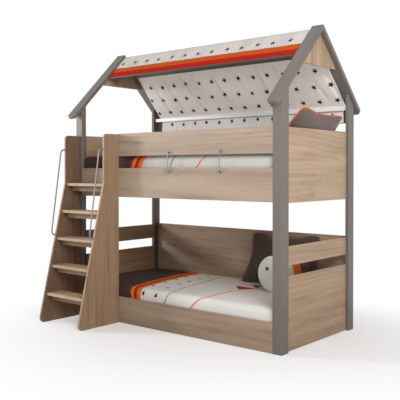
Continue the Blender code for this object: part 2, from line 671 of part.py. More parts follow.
def duvet_ring(x, mattress_top):
    """Cross-section: over the mattress with round shoulders, tucked down at front and rear."""
    front = RAIL_BOARD + DUVET_SIDE_GAP
    rear = BACK_INNER_Y - DUVET_SIDE_GAP
    under = mattress_top + SOFT_CLEARANCE
    skirt_bottom = mattress_top - DUVET_TUCK
    from_end = DUVET_X - abs(x)
    inward_share = min(from_end / DUVET_END_ROUND, 1)
    full_share = 1 - DUVET_FALL_SHARE + DUVET_FALL_SHARE * (1 - (1 - inward_share) ** 2) ** 0.5
    swell = full_share * DUVET_EDGE
    crown = full_share * DUVET_CROWN
    shoulder_z = swell + DUVET_SHOULDER / 2
    ripple = DUVET_RIPPLE * inward_share * sin(2 * pi * x / DUVET_RIPPLE_PITCH)

    def shoulder(wall, inward):
        angles = [radians(90) * step / 4 for step in range(5)]
        start_z = under + swell - shoulder_z
        return [(wall + inward * DUVET_SHOULDER * (1 - cos(a)), start_z + shoulder_z * sin(a)) for a in angles]

    across = [step / 8 for step in range(1, 8)]
    low_y = front + DUVET_SHOULDER
    high_y = rear - DUVET_SHOULDER
    top = [
        (low_y + s * (high_y - low_y), under + swell + (crown + ripple * sin(3 * pi * s)) * sin(pi * s))
        for s in across
    ]
    outer = [(front, skirt_bottom)] + shoulder(front, 1) + top
    outer += shoulder(rear, -1)[::-1] + [(rear, skirt_bottom)]
    inner_rear = rear - DUVET_SKIRT
    inner_front = front + DUVET_SKIRT
    inner = [(inner_rear, skirt_bottom), (inner_rear, under)]
    inner += [(inner_front, under), (inner_front, skirt_bottom)]
    return [(x, y, z) for y, z in outer + inner]


def duvet(level, mattress_top):
    end_places = [DUVET_X - DUVET_END_ROUND * (1 - cos(radians(30 * step))) for step in range(4)]
    inner = end_places[-1]
    middle_places = [inner * (step / 5) for step in range(-4, 5)]
    places = [-x for x in end_places] + middle_places + end_places[::-1]
    shape = loft([duvet_ring(x, mattress_top) for x in places])
    return add_shape(f"{level}_duvet", shape, BEDDING, smooth=True)


mattress("lower", LOWER_BED_Z)
mattress("upper", UPPER_BED_Z)
lower_duvet = duvet("lower", LOWER_BED_Z + MATTRESS_THICKNESS)
upper_duvet = duvet("upper", UPPER_BED_Z + MATTRESS_THICKNESS)


# Pillows: two faces that swell from a shared seam, with the sides drawn in between the corners
PILLOW_FLAT = 2.4
PILLOW_FULL_SHARE = 0.55


def pillow(name, size, crown, columns, rib, spread_share, slump_share, look):
    """The spread widens its lower edge, the slump lowers its far end."""
    rows = 12
    width, height = size
    shape = bmesh.new()

    def point(i, j, face):
        u = 2 * i / columns - 1
        v = sin(pi * j / rows - pi / 2)
        swell_share = ((1 - abs(u) ** PILLOW_FLAT) * (1 - abs(v) ** PILLOW_FLAT)) ** PILLOW_FULL_SHARE
        groove = rib * (i % 2) if swell_share else 0
        x = u * (width / 2 - PILLOW_DRAW * (1 - v * v)) * (1 - spread_share * v)
        z = v * (height / 2 - PILLOW_DRAW * (1 - u * u)) * (1 + slump_share * u)
        return x, face * (crown / 2 - groove) * swell_share, z

    rim = {}
    for face in (-1, 1):
        grid = []
        for i in range(columns + 1):
            line = []
            for j in range(rows + 1):
                on_rim = i in (0, columns) or j in (0, rows)
                if on_rim and (i, j) not in rim:
                    rim[i, j] = shape.verts.new(point(i, j, face))
                line.append(rim[i, j] if on_rim else shape.verts.new(point(i, j, face)))
            grid.append(line)
        for i in range(columns):
            for j in range(rows):
                quad = (grid[i][j], grid[i + 1][j], grid[i + 1][j + 1], grid[i][j + 1])
                shape.faces.new(quad)
    return add_shape(name, shape, look, smooth=True)


DOWN = Vector((0, 0, -1))
lower_size = (LOWER_PILLOW_WIDTH, LOWER_PILLOW_HEIGHT)
lower_pillow = pillow(
    "lower_pillow", lower_size, LOWER_PILLOW_CROWN, 28, LOWER_PILLOW_RIB, LOWER_PILLOW_SPREAD_SHARE, 0, BROWN_CORD
)
lower_pillow.rotation_euler = (-LOWER_PILLOW_LEAN, 0, LOWER_PILLOW_YAW)
lower_pillow.location = (
    HALF_LENGTH - LOWER_PILLOW_FROM_END, BACK_INNER_Y - LOWER_PILLOW_HEIGHT, LOWER_BACK_TOP
)
settle(lower_pillow, [lower_duvet], DOWN)
settle(lower_pillow, [lower_back], Vector((0, 1, 0)))
settle(lower_pillow, [lower_duvet, lower_back], DOWN)

upper_size = (UPPER_PILLOW_WIDTH, UPPER_PILLOW_HEIGHT)
upper_pillow = pillow(
    "upper_pillow", upper_size, UPPER_PILLOW_CROWN, 16, 0, 0, UPPER_PILLOW_SLUMP_SHARE, TAUPE
)
upper_pillow.rotation_euler = (-UPPER_PILLOW_LEAN, 0, radians(-90))
upper_pillow.location = (
    END_INNER_X - UPPER_PILLOW_HEIGHT,
    BACK_INNER_Y - UPPER_PILLOW_BACK_GAP - UPPER_PILLOW_WIDTH / 2,
    GUARD_TOP + UPPER_PILLOW_CROWN / 2,
)
settle(upper_pillow, [upper_duvet], DOWN)
settle(upper_pillow, [upper_end_right], Vector((1, 0, 0)))
settle(upper_pillow, [upper_duvet, upper_end_right], DOWN)

# Bolster: a stuffed roll of three cloths sewn end to end, its front a domed disc
BOLSTER_SEAM_SHARES = (0.30, 0.62)
BOLSTER_INNER = BOLSTER_RADIUS - BOLSTER_ROUND
bolster_profile = [(BOLSTER_INNER / 4, -BOLSTER_SEAM), (BOLSTER_INNER * 3 / 4, -BOLSTER_SEAM / 2)]
for step in range(4):
    a = radians(30 * step)
    bolster_profile.append((BOLSTER_INNER + BOLSTER_ROUND * sin(a), BOLSTER_ROUND * (1 - cos(a))))
for seam_share in BOLSTER_SEAM_SHARES:
    seam = seam_share * BOLSTER_LENGTH
    bolster_profile += [
        (BOLSTER_RADIUS, seam - 2 * BOLSTER_SEAM),
        (BOLSTER_RADIUS - BOLSTER_SEAM, seam),
        (BOLSTER_RADIUS, seam + 2 * BOLSTER_SEAM),
    ]
for step in range(4):
    a = radians(30 * step)
    back = BOLSTER_LENGTH - BOLSTER_ROUND * (1 - sin(a))
    bolster_profile.append((BOLSTER_INNER + BOLSTER_ROUND * cos(a), back))


def bolster_place(a, b, along):
    """The roll's axis runs back from its front disc."""
    return a, along - BOLSTER_LENGTH / 2, b


bolster = add_shape("bolster", turned(bolster_profile, 28, bolster_place), ORANGE, smooth=True)
bolster.location = (
    HALF_LENGTH - BOLSTER_FROM_END,
    BACK_INNER_Y - BOLSTER_BACK_GAP - BOLSTER_LENGTH / 2,
    LOWER_END_TOP + BOLSTER_RADIUS,
)
settle(bolster, [lower_duvet], DOWN)


# Cloth roof
CANOPY_X = RAFTER_INNER_X - CLOTH_SIDE_GAP


def fold_share(x, pitch):
    """Soft uneven folds along the bed, between 0 and 1."""
    turn = 2 * pi * x / pitch
    return 0.5 + 0.3 * cos(turn) + 0.2 * cos(1.7 * turn + 1)


def add_cloth(name, grid, thickness, look):
    """Give a grid of points, the cloth's outer face, an inner face one thickness below."""
    shape = bmesh.new()
    columns, rows = len(grid), len(grid[0])

    def inward(i, j):
        along = grid[min(i + 1, columns - 1)][j] - grid[max(i - 1, 0)][j]
        down = grid[i][min(j + 1, rows - 1)] - grid[i][max(j - 1, 0)]
        return down.cross(along).normalized()

    outer = [[shape.verts.new(point) for point in line] for line in grid]
    inner = [
        [shape.verts.new(grid[i][j] + thickness * inward(i, j)) for j in range(rows)]
        for i in range(columns)
    ]
    for i in range(columns - 1):
        for j in range(rows - 1):
            for sheet in (outer, inner):
                shape.faces.new((sheet[i][j], sheet[i + 1][j], sheet[i + 1][j + 1], sheet[i][j + 1]))
    rim = [(i, 0) for i in range(columns)] + [(columns - 1, j) for j in range(1, rows)]
    rim += [(i, rows - 1) for i in range(columns - 2, -1, -1)] + [(0, j) for j in range(rows - 2, 0, -1)]
    for (i, j), (k, m) in zip(rim, rim[1:] + rim[:1]):
        shape.faces.new((outer[i][j], outer[k][m], inner[k][m], inner[i][j]))
    return add_shape(name, shape, look, smooth=True)


def canopy_line(x):
    """From the hem over the front board's edge, over the ridge, down to behind the eave rail."""
    fold = CLOTH_FOLD * fold_share(x, FOLD_PITCH)
    hem_down = FRONT_BOARD_DOWN + CLEARANCE + CLOTH_THICKNESS
    hem_end = CLOTH_DROP + CLOTH_THICKNESS + RIDGE_BOARD
    line = [slope_point(-1, hem_down, hem_end), slope_point(-1, hem_down, CLOTH_DROP + CLOTH_HEM_LIP / 2)]
    line.append(slope_point(-1, hem_down - CLOTH_HEM_LIP / 2, CLOTH_DROP))
    for share in (0.75, 0.5, 0.25):
        line.append(slope_point(-1, hem_down * share, CLOTH_DROP - fold / 4))
    line.append((RIDGE_Y, slope_height(RIDGE_Y, CLOTH_DROP)))
    for share in (0.33, 0.67, 1):
        line.append(slope_point(1, REAR_BOARD_DOWN * share, CLOTH_DROP - fold / 4))
    start = Vector(slope_point(1, REAR_BOARD_DOWN, CLOTH_DROP))
    rail_y = EAVE_RAIL_REAR + CLEARANCE + CLOTH_THICKNESS
    end = Vector((rail_y, EAVE_RAIL_TOP + CLOTH_HEM_LIP))
    outward = Vector((end.y - start.y, start.x - end.x)).normalized() * -1
    for share in (0.2, 0.4, 0.6, 0.8):
        belly = 4 * share * (1 - share)
        line.append(start.lerp(end, share) + outward * belly * (fold - CLOTH_SAG))
    line += [end, (rail_y, EAVE_RAIL_TOP - CLOTH_HEM_LIP), (rail_y, EAVE_RAIL_TOP - CANOPY_TAIL)]
    return [Vector((x, y, z)) for y, z in line]


CANOPY_COLUMNS = 26
canopy_xs = [CANOPY_X * (2 * i / CANOPY_COLUMNS - 1) for i in range(CANOPY_COLUMNS + 1)]
add_cloth("canopy_cloth", [canopy_line(x) for x in canopy_xs], CLOTH_THICKNESS, COTTON)


def valance_line(x):
    """A gathered strip sewn to the canopy's lower edge, its pleats opening downwards."""
    top = EAVE_RAIL_TOP - CANOPY_TAIL - CLEARANCE
    wall = EAVE_RAIL_REAR + CLEARANCE + CLOTH_THICKNESS
    pleat = VALANCE_PLEAT * fold_share(x, VALANCE_PITCH)
    return [Vector((x, wall + share * pleat, top - share * VALANCE_DROP)) for share in (0, 0.3, 0.65, 1)]


VALANCE_COLUMNS = 72
valance_low = VALANCE_LEFT_GAP - BACK_SPAN_X
valance_span = BACK_SPAN_X - VALANCE_RIGHT_GAP - valance_low
valance_xs = [valance_low + valance_span * i / VALANCE_COLUMNS for i in range(VALANCE_COLUMNS + 1)]
add_cloth("canopy_valance", [valance_line(x) for x in valance_xs], CLOTH_THICKNESS, COTTON)
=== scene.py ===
from math import cos, exp, hypot, pi, radians, sin, sqrt

import bmesh
import bpy
from mathutils import Matrix, Vector, noise


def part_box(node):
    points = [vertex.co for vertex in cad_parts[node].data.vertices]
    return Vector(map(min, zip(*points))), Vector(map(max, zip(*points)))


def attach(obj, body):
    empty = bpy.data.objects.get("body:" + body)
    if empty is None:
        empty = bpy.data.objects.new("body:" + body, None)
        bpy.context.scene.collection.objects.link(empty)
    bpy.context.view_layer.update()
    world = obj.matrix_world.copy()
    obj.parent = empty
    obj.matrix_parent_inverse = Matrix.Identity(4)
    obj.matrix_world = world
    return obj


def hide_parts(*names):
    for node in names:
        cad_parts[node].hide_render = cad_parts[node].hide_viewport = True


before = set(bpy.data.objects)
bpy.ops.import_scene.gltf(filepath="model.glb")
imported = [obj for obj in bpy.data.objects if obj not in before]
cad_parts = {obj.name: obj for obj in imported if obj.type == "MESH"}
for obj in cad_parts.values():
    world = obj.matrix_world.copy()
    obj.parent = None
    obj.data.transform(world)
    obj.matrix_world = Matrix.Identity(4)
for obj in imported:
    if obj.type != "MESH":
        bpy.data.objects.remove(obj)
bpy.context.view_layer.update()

# --- Posts -----------------------------------------------------------------------------------------
# Four upright boards of melamine-faced particle board in a grey-taupe oak print, edge-banded all round.
# Each front post is an L of two boards glued together; the rear ones are single boards.


def tint(red, green, blue):
    """Linear colour from the sRGB values (0 to 255) that a picture shows."""
    parts = [c / 255 for c in (red, green, blue)]
    return tuple(((p + 0.055) / 1.055) ** 2.4 if p > 0.04045 else p / 12.92 for p in parts) + (1.0,)


class Term:
    """An output socket that takes plain arithmetic: each step of it becomes a Math node."""

    def __init__(self, tree, socket):
        self.tree = tree
        self.socket = socket

    def __rsub__(self, other):
        return calc("SUBTRACT", other, self)


# Python's operators for a Term, each with the Math node that it makes
OPERATORS = {
    "add": "ADD", "radd": "ADD", "sub": "SUBTRACT", "mul": "MULTIPLY", "rmul": "MULTIPLY",
    "truediv": "DIVIDE", "mod": "FLOORED_MODULO", "pow": "POWER", "abs": "ABSOLUTE",
    "lt": "LESS_THAN", "gt": "GREATER_THAN",
}
for name, operation in OPERATORS.items():
    setattr(Term, f"__{name}__", lambda self, *other, operation=operation: calc(operation, self, *other))


def feed(node, values):
    """Link or set the node's input sockets, by name or number."""
    for key, value in values.items():
        if isinstance(value, Term):
            value.tree.links.new(value.socket, node.inputs[key])
        else:
            node.inputs[key].default_value = value


def add_node(tree, kind, values=None, **settings):
    """A node with its settings made and its inputs fed."""
    node = tree.nodes.new(kind)
    for key, value in settings.items():
        setattr(node, key, value)
    feed(node, values or {})
    return node


def make(kind, values, output=0, **settings):
    """One output of a new node, in the tree of the terms among its values."""
    tree = next(value.tree for value in values.values() if isinstance(value, Term))
    return Term(tree, add_node(tree, kind, values, **settings).outputs[output])


def calc(operation, *terms):
    """One step of arithmetic; at least one of the terms is a Term, the others can be numbers."""
    return make("ShaderNodeMath", dict(enumerate(terms)), operation=operation)


def vector(x, y, z=0.0):
    return make("ShaderNodeCombineXYZ", {"X": x, "Y": y, "Z": z})


def split(term, kind="ShaderNodeSeparateXYZ"):
    """The three parts of a vector, or of a colour with that kind of node."""
    return [Term(term.tree, socket) for socket in add_node(term.tree, kind, {0: term}).outputs[:3]]


def ease(value, low, high, to_low=0.0, to_high=1.0):
    """Smooth step of the term from low to high, clamped."""
    values = {"Value": value, "From Min": low, "From Max": high, "To Min": to_low, "To Max": to_high}
    return make("ShaderNodeMapRange", values, "Result", interpolation_type="SMOOTHSTEP")


def mix(share, first, second, mode="MIX"):
    """Mixed colour; share, first and second are terms or plain values."""
    return make("ShaderNodeMix", {0: share, 6: first, 7: second}, 2, data_type="RGBA", blend_type=mode)


def shaded(colour, tone):
    """The colour times a tone."""
    return mix(1.0, colour, vector(tone, tone, tone), "MULTIPLY")


def scatter(place, scales, detail=2.0, shift=0.0, roughness=0.5):
    """Stretched noise, 0 to 1, at so many cells per metre along each axis."""
    moved = make("ShaderNodeVectorMath", {0: place, 1: scales, 2: (shift,) * 3}, operation="MULTIPLY_ADD")
    values = {"Vector": moved, "Scale": 1.0, "Detail": detail, "Roughness": roughness}
    return make("ShaderNodeTexNoise", values, "Fac")


def relief(height, strength, distance):
    return make("ShaderNodeBump", {"Height": height, "Strength": strength, "Distance": distance})


def new_group(name, kind, inputs):
    """A node group and its input terms by name; an input's value is its default number or its type."""
    group = bpy.data.node_groups.new(name, kind)
    for label, value in inputs.items():
        is_number = isinstance(value, float)
        socket_type = "NodeSocket" + ("Float" if is_number else value)
        socket = group.interface.new_socket(label, in_out="INPUT", socket_type=socket_type)
        if is_number:
            socket.default_value = value
    into = group.nodes.new("NodeGroupInput")
    return group, {label: Term(group, into.outputs[label]) for label in inputs}


def set_outputs(group, kind, terms):
    """Give the group an output of that kind for each named term."""
    for label in terms:
        group.interface.new_socket(label, in_out="OUTPUT", socket_type="NodeSocket" + kind)
    feed(group.nodes.new("NodeGroupOutput"), terms)


def use_group(group, values):
    """The outputs of a shader group, as terms by name."""
    tree = values["Vector"].tree
    node = add_node(tree, "ShaderNodeGroup", values, node_tree=group)
    return {socket.name: Term(tree, socket) for socket in node.outputs}


def new_material(name, flat=False, **constants):
    """A material, its Principled shader and the term of the place on it, which is the flat UV of a
    cloth or else object space. Constants are the shader's sockets, with _ for spaces."""
    material = bpy.data.materials.new(name)
    material.use_nodes = True
    tree = material.node_tree
    shader = tree.nodes["Principled BSDF"]
    feed(shader, {key.replace("_", " "): value for key, value in constants.items()})
    if flat:
        place = add_node(tree, "ShaderNodeUVMap", uv_map="flat").outputs[0]
    else:
        place = add_node(tree, "ShaderNodeTexCoord").outputs["Object"]
    return material, shader, Term(tree, place)


# Board space: X across the grain, Y through the board, Z along the grain, in metres
oak_grain, given = new_group(
    "oak grain", "ShaderNodeTree", {"Vector": "Vector", "Seed": 0.0, "Strip width": 10.0, "Knot share": 0.3},
)
shifts = [given["Seed"] * share for share in (1.37, 2.91, 4.73)]
across, through, along = [part + shift for part, shift in zip(split(given["Vector"]), shifts)]
strip = calc("FLOOR", across / given["Strip width"])
strip_tone = make("ShaderNodeTexWhiteNoise", {"W": strip}, "Value", noise_dimensions="1D")
along = along + strip_tone * 9.0
straight = vector(across, through, along)

knot_place = {"Vector": vector(across * 4.1, 0.0, along * 2.3), "Scale": 1.0}
knot_field = add_node(oak_grain, "ShaderNodeTexVoronoi", knot_place, voronoi_dimensions="3D")
from_knot = Term(oak_grain, knot_field.outputs["Distance"])
knot_draw, knot_girth, _ = split(Term(oak_grain, knot_field.outputs["Color"]), "ShaderNodeSeparateColor")
has_knot = knot_draw < given["Knot share"]
knots = ease(from_knot / (knot_girth * 0.016 + 0.012), 1.5, 0.5) * has_knot
swirl = ease(from_knot, 0.20, 0.0) * has_knot

wander = scatter(straight, (3.5, 1.0, 0.5), 1.0)
rings = calc("SINE", (wander * 6.0 + swirl * 0.8 + across * 22.0) * (2 * pi)) * 0.5
ring_depth = ease(scatter(straight, (2.2, 1.0, 0.9), 1.0, 7.7), 0.42, 0.62, 0.0, 0.10)
bent = vector(across + swirl * 0.03 + wander * 0.13, through, along)
cloud = scatter(straight, (10.0, 3.0, 1.0), 2.5, 5.1)
streak = scatter(bent, (40.0, 20.0, 1.3), 3.0, 2.2, 0.6)
fine = scatter(bent, (190.0, 90.0, 4.5), 2.0, 6.6)
smudge = ease(scatter(bent, (26.0, 6.0, 2.1), 2.0, 3.9, 0.6), 0.52, 0.74)
fleck = ease(scatter(bent, (100.0, 40.0, 7.0), 2.0, 1.8), 0.56, 0.70) * smudge
figure = rings * ring_depth + cloud * 0.66 + streak * 0.20 + fine * 0.14 - smudge * 0.09 - fleck * 0.36
pore_noise = scatter(straight, (420.0, 300.0, 11.0), 2.0, 8.4)
pores = ease(pore_noise, 0.58, 0.72) * ease(streak, 0.35, 0.65, 0.4, 1.0)
set_outputs(oak_grain, "Float", {
    "Figure": figure, "Pores": pores, "Knots": knots, "Strip tone": strip_tone,
    "Height": figure * 0.25 - pores * 0.7 - knots * 0.3,
})

ARRIS_SPREAD = (1.06, 1.32)
KNOT_DARKNESS = 0.36


def board_space(source, along, face, turn):
    """The source's X, Y and Z in board order, after turning about X."""
    turned = make("ShaderNodeMapping", {"Vector": source, "Rotation": (turn, 0, 0)}, vector_type="POINT")
    parts = dict(zip("XYZ", split(turned)))
    across = next(axis for axis in "XYZ" if axis not in (along, face))
    return vector(parts[across], parts[face], parts[along])


def dress(material, *nodes):
    for node in nodes:
        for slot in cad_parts[node].material_slots:
            slot.material = material


def oak(
    node, along, face, seed, tones, turn=0.0, strips=10.0, strip_depth=0.0, knot_share=0.3, painted_edge_highlight=1.12,
):
    """Dress the node as an oak-print board: along and face are its axes, tones the figure's light
    and dark colours, strips the width of its glued strips."""
    light, dark = tones
    material, shader, source = new_material(node, Specular_IOR_Level=0.35)
    outward = Term(source.tree, source.socket.node.outputs["Normal"])
    grain = use_group(oak_grain, {
        "Vector": board_space(source, along, face, turn), "Seed": seed, "Strip width": strips,
        "Knot share": knot_share,
    })
    colour = mix(ease(grain["Figure"], 0.16, 0.68), dark, light)
    knot_colour = tuple(c * KNOT_DARKNESS for c in dark[:3]) + (1.0,)
    colour = mix(grain["Knots"] * 0.85, colour, knot_colour)
    # The narrow edge faces are painted lighter by the edge factor, a painted highlight on the board's edges;
    # rounded arrises come out 10 % lighter as well.
    sizes = [abs(part) for part in split(board_space(outward, along, face, turn))]
    arris = ease(sizes[0] + sizes[1] + sizes[2], *ARRIS_SPREAD)
    band = ease(sizes[1], 0.75, 0.45)
    tone = grain["Strip tone"] * strip_depth + (1 - strip_depth / 2)
    tone = tone * (1.0 - grain["Pores"] * 0.22) * (band * (painted_edge_highlight - 1) + arris * 0.10 + 1.0)
    feed(shader, {
        "Base Color": shaded(colour, tone), "Roughness": ease(grain["Pores"], 0.0, 1.0, 0.46, 0.62),
        "Normal": relief(grain["Height"], 0.25, 0.0006),
    })
    dress(material, node)


TAUPE_OAK = (tint(117, 110, 105), tint(104, 96, 91))
# The rear left post's darker tones are painted shade, for the shadow it stands in at the back corner.
PAINTED_SHADE_TAUPE_OAK = (tint(88, 79, 72), tint(73, 65, 58))
for seed, name in enumerate(("front_left", "front_right", "rear_left", "rear_right")):
    tones = PAINTED_SHADE_TAUPE_OAK if name == "rear_left" else TAUPE_OAK
    oak(f"post_{name}", "Z", "Y", 1.7 + seed, tones, knot_share=0.04, painted_edge_highlight=1.0)

# --- Roof frame ------------------------------------------------------------------------------------
# Two pairs of rafters in the same taupe print meet in a plumb mitre; wide taupe boards join them at
# the ridge. They're dowelled and cam-locked, so that no screw shows on the outside.
WARM_TAUPE_OAK = (tint(112, 104, 96), tint(90, 83, 76))
for side, turn in (("front", radians(-45)), ("rear", radians(45))):
    for seed, hand in enumerate(("left", "right")):
        name = f"rafter_{side}_{hand}"
        oak(name, "Y", "Z", 7.3 + seed + turn, TAUPE_OAK, turn, knot_share=0.03, painted_edge_highlight=1.0)
    oak(f"purlin_{side}", "X", "Z", 12.1 + turn, WARM_TAUPE_OAK, turn, knot_share=0.05)

# --- Gables and eave rail --------------------------------------------------------------------------
# Thin oak-print panels close the top of both ends, their grain upright in glued strips. A slim rail
# painted white with a satin lacquer ties the rear posts, with a taupe board behind it.
GABLE_OAK = (tint(180, 154, 128), tint(143, 116, 92))
for seed, hand in enumerate(("left", "right")):
    oak(f"gable_{hand}", "Z", "X", 21.3 + seed, GABLE_OAK, strips=0.075, strip_depth=0.16, knot_share=0.2)


def fine_finish(name, scales, detail, dull=None, bump=None, **constants):
    """A finish with a fine noise: dull is the range of its roughness, bump its relief's strength
    and depth."""
    material, shader, place = new_material(name, **constants)
    speckle = scatter(place, scales, detail)
    if dull:
        feed(shader, {"Roughness": ease(speckle, 0.3, 0.7, *dull)})
    if bump:
        feed(shader, {"Normal": relief(speckle, *bump)})
    return material


lacquer = fine_finish(
    "white lacquer", (6.0, 260.0, 260.0), 2.0, bump=(0.12, 0.0004),
    Base_Color=tint(228, 228, 230), Roughness=0.32,
)
dress(lacquer, "eave_rail")
oak("eave_board", "X", "Y", 17.9, WARM_TAUPE_OAK, knot_share=0.05)

# --- Bunk boards -----------------------------------------------------------------------------------
# Rails, guard, backs and ends are 18 and 22 mm oak-print boards with matching edge band, let in
# between the posts and held by hidden cam locks. Their grain runs along the bed or across its ends.
# Lit and shaded copies of one oak print: the end and front tones are painted lit, the low end, low and low
# left tones darker in steps as painted shade, on the lower, back and left-hand boards.
BUNK_OAK_PAINTED_LIGHT_AND_SHADE = {
    "end": (tint(186, 160, 134), tint(150, 124, 100)), "front": (tint(180, 159, 140), tint(144, 122, 104)),
    "low end": (tint(179, 151, 124), tint(143, 115, 91)), "low": (tint(170, 147, 125), tint(132, 108, 88)),
    "low left": (tint(148, 119, 93), tint(116, 90, 68)),
}
for number, (name, along, face, tone) in enumerate((
    ("lower_rail_front", "X", "Y", "low"), ("lower_back_panel", "X", "Y", "low"),
    ("lower_end_left", "Y", "X", "low left"), ("lower_end_right", "Y", "X", "low end"),
    ("lower_end_slat_left", "Y", "X", "low left"), ("lower_end_slat_right", "Y", "X", "low end"),
    ("upper_rail_front", "X", "Y", "front"), ("upper_back_panel", "X", "Y", "low"),
    ("upper_guard_front", "X", "Y", "front"), ("upper_end_left", "Y", "X", "low end"),
    ("upper_end_right", "Y", "X", "end"),
)):
    oak(name, along, face, 31.7 + 1.9 * number, BUNK_OAK_PAINTED_LIGHT_AND_SHADE[tone], knot_share=0.42)

# --- Slat bases ------------------------------------------------------------------------------------
# Pale planed pine: two battens screwed to the rail and back, with slats let into them. The battens'
# countersunk screws are placed by a Geometry Nodes tree, a row for each batten.
PINE = (tint(222, 198, 160), tint(190, 158, 116))
for level, seed in (("lower", 71.0), ("upper", 76.5)):
    name = f"{level}_slat_base"
    oak(name, "Y", "Z", seed, PINE, strips=0.08, strip_depth=0.08, knot_share=0.12, painted_edge_highlight=1.0)

zinc = fine_finish("zinc", (900.0,) * 3, 2.0, dull=(0.30, 0.50), Base_Color=tint(188, 188, 184), Metallic=1.0)


def end_row(group, points, shape, line_turn, own_turn, material):
    """End a tree: the shape on each point with both turns, made real, with its material."""
    turn = make("FunctionNodeRotateRotation", {0: line_turn, 1: own_turn}, rotation_space="LOCAL")
    placed = make("GeometryNodeInstanceOnPoints", {"Points": points, "Instance": shape, "Rotation": turn})
    real = make("GeometryNodeRealizeInstances", {0: placed})
    dressed = make("GeometryNodeSetMaterial", {"Geometry": real, "Material": material})
    set_outputs(group, "Geometry", {"Geometry": dressed})
    group.is_modifier = True


screw_row, given = new_group("screw row", "GeometryNodeTree", {
    "Start": "Vector", "Step": "Vector", "Turn": "Vector", "Count": "Int", "Radius": "Float", "Seed": "Int",
    "Material": "Material",
})
row_values = {"Count": given["Count"], "Start Location": given["Start"], "Offset": given["Step"]}
row = make("GeometryNodeMeshLine", row_values, mode="OFFSET")
radius = given["Radius"]
head = make("GeometryNodeMeshCone", {
    "Vertices": 20, "Radius Top": radius * 0.8, "Radius Bottom": radius, "Depth": radius * 0.35,
})
bar = make("GeometryNodeMeshCube", {"Size": vector(radius * 1.1, radius * 0.22, radius * 0.5)})
cross = make("GeometryNodeJoinGeometry", {0: bar})
other_bar = make("GeometryNodeTransform", {"Geometry": bar, "Rotation": (0, 0, radians(90))})
feed(cross.socket.node, {0: other_bar})
cross_up = make("GeometryNodeTransform", {"Geometry": cross, "Translation": vector(0.0, 0.0, radius * 0.42)})
screw = make("GeometryNodeMeshBoolean", {"Mesh 1": head, "Mesh 2": cross_up}, operation="DIFFERENCE")
spin = make("FunctionNodeRandomValue", {2: 0.0, 3: 2 * pi, "Seed": given["Seed"]}, 1, data_type="FLOAT")
line_turn = make("FunctionNodeEulerToRotation", {0: given["Turn"]})
own_turn = make("FunctionNodeEulerToRotation", {0: vector(0.0, 0.0, spin)})
end_row(screw_row, row, screw, line_turn, own_turn, given["Material"])


def add_object(name, data, *materials):
    piece = bpy.data.objects.new(name, data)
    bpy.context.scene.collection.objects.link(piece)
    for material in materials:
        data.materials.append(material)
    return piece


def real_mesh(piece):
    """The piece's mesh with its modifiers or its curve made real."""
    return bpy.data.meshes.new_from_object(piece.evaluated_get(bpy.context.evaluated_depsgraph_get()))


def bake(piece, tree, values):
    """Run a Geometry Nodes tree on the piece with those inputs, and keep the result as its mesh."""
    modifier = piece.modifiers.new(tree.name, "NODES")
    modifier.node_group = tree
    keys = {item.name: item.identifier for item in tree.interface.items_tree if item.in_out == "INPUT"}
    for label, value in values.items():
        modifier[keys[label]] = value
    piece.update_tag()
    mesh = real_mesh(piece)
    piece.modifiers.clear()
    piece.data = mesh


SCREW_RADIUS = 0.0042
SCREW_PITCH = 0.235
SCREW_COUNT = 9
SCREW_START = -(SCREW_COUNT // 2) * SCREW_PITCH
SCREW_PROUD = SCREW_RADIUS * 0.17 - 0.0004
BATTEN_HALF_HEIGHT = 0.012
BATTEN_DEPTH = 0.025
for level in ("lower", "upper"):
    low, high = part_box(f"{level}_slat_base")
    for side, face_y, outward, seed in (
        ("front", low.y + BATTEN_DEPTH, 1, 3), ("rear", high.y - BATTEN_DEPTH, -1, 4),
    ):
        piece = add_object(f"{level}_batten_screws_{side}", bpy.data.meshes.new("screws"))
        bake(piece, screw_row, {
            "Start": (SCREW_START, face_y + outward * SCREW_PROUD, low.z + BATTEN_HALF_HEIGHT),
            "Step": (SCREW_PITCH, 0, 0), "Turn": (-outward * radians(90), 0, 0), "Count": SCREW_COUNT,
            "Radius": SCREW_RADIUS, "Seed": seed, "Material": zinc,
        })
        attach(piece, "frame")

# --- Stair -----------------------------------------------------------------------------------------
# Two oak-print sides with upright grain in glued strips and an edge band painted lighter as a highlight,
# five treads let in between them and a narrow apron under each tread, glued and dowelled.
STAIR_OAK = (tint(161, 132, 106), tint(124, 96, 74))
# The left side's darker tones are painted shade, for the shade on its inner face.
STAIR_LEFT_PAINTED_SHADE_OAK = (tint(124, 98, 77), tint(96, 73, 56))
TREAD_OAK = (tint(194, 168, 141), tint(154, 126, 100))
STAIR_STRIPS = {"strips": 0.062, "strip_depth": 0.14}
oak("stair_side_left", "Z", "X", 83.4, STAIR_LEFT_PAINTED_SHADE_OAK, knot_share=0.35, painted_edge_highlight=1.28, **STAIR_STRIPS)
oak("stair_side_right", "Z", "X", 86.1, STAIR_OAK, knot_share=0.35, painted_edge_highlight=1.28, **STAIR_STRIPS)
for level in range(1, 6):
    oak(f"stair_tread_{level}", "X", "Z", 91 + 1.3 * level, TREAD_OAK, knot_share=0.1, painted_edge_highlight=1.06)
    oak(f"stair_apron_{level}", "X", "Y", 101 + 1.3 * level, STAIR_OAK, knot_share=0.1, painted_edge_highlight=1.0)

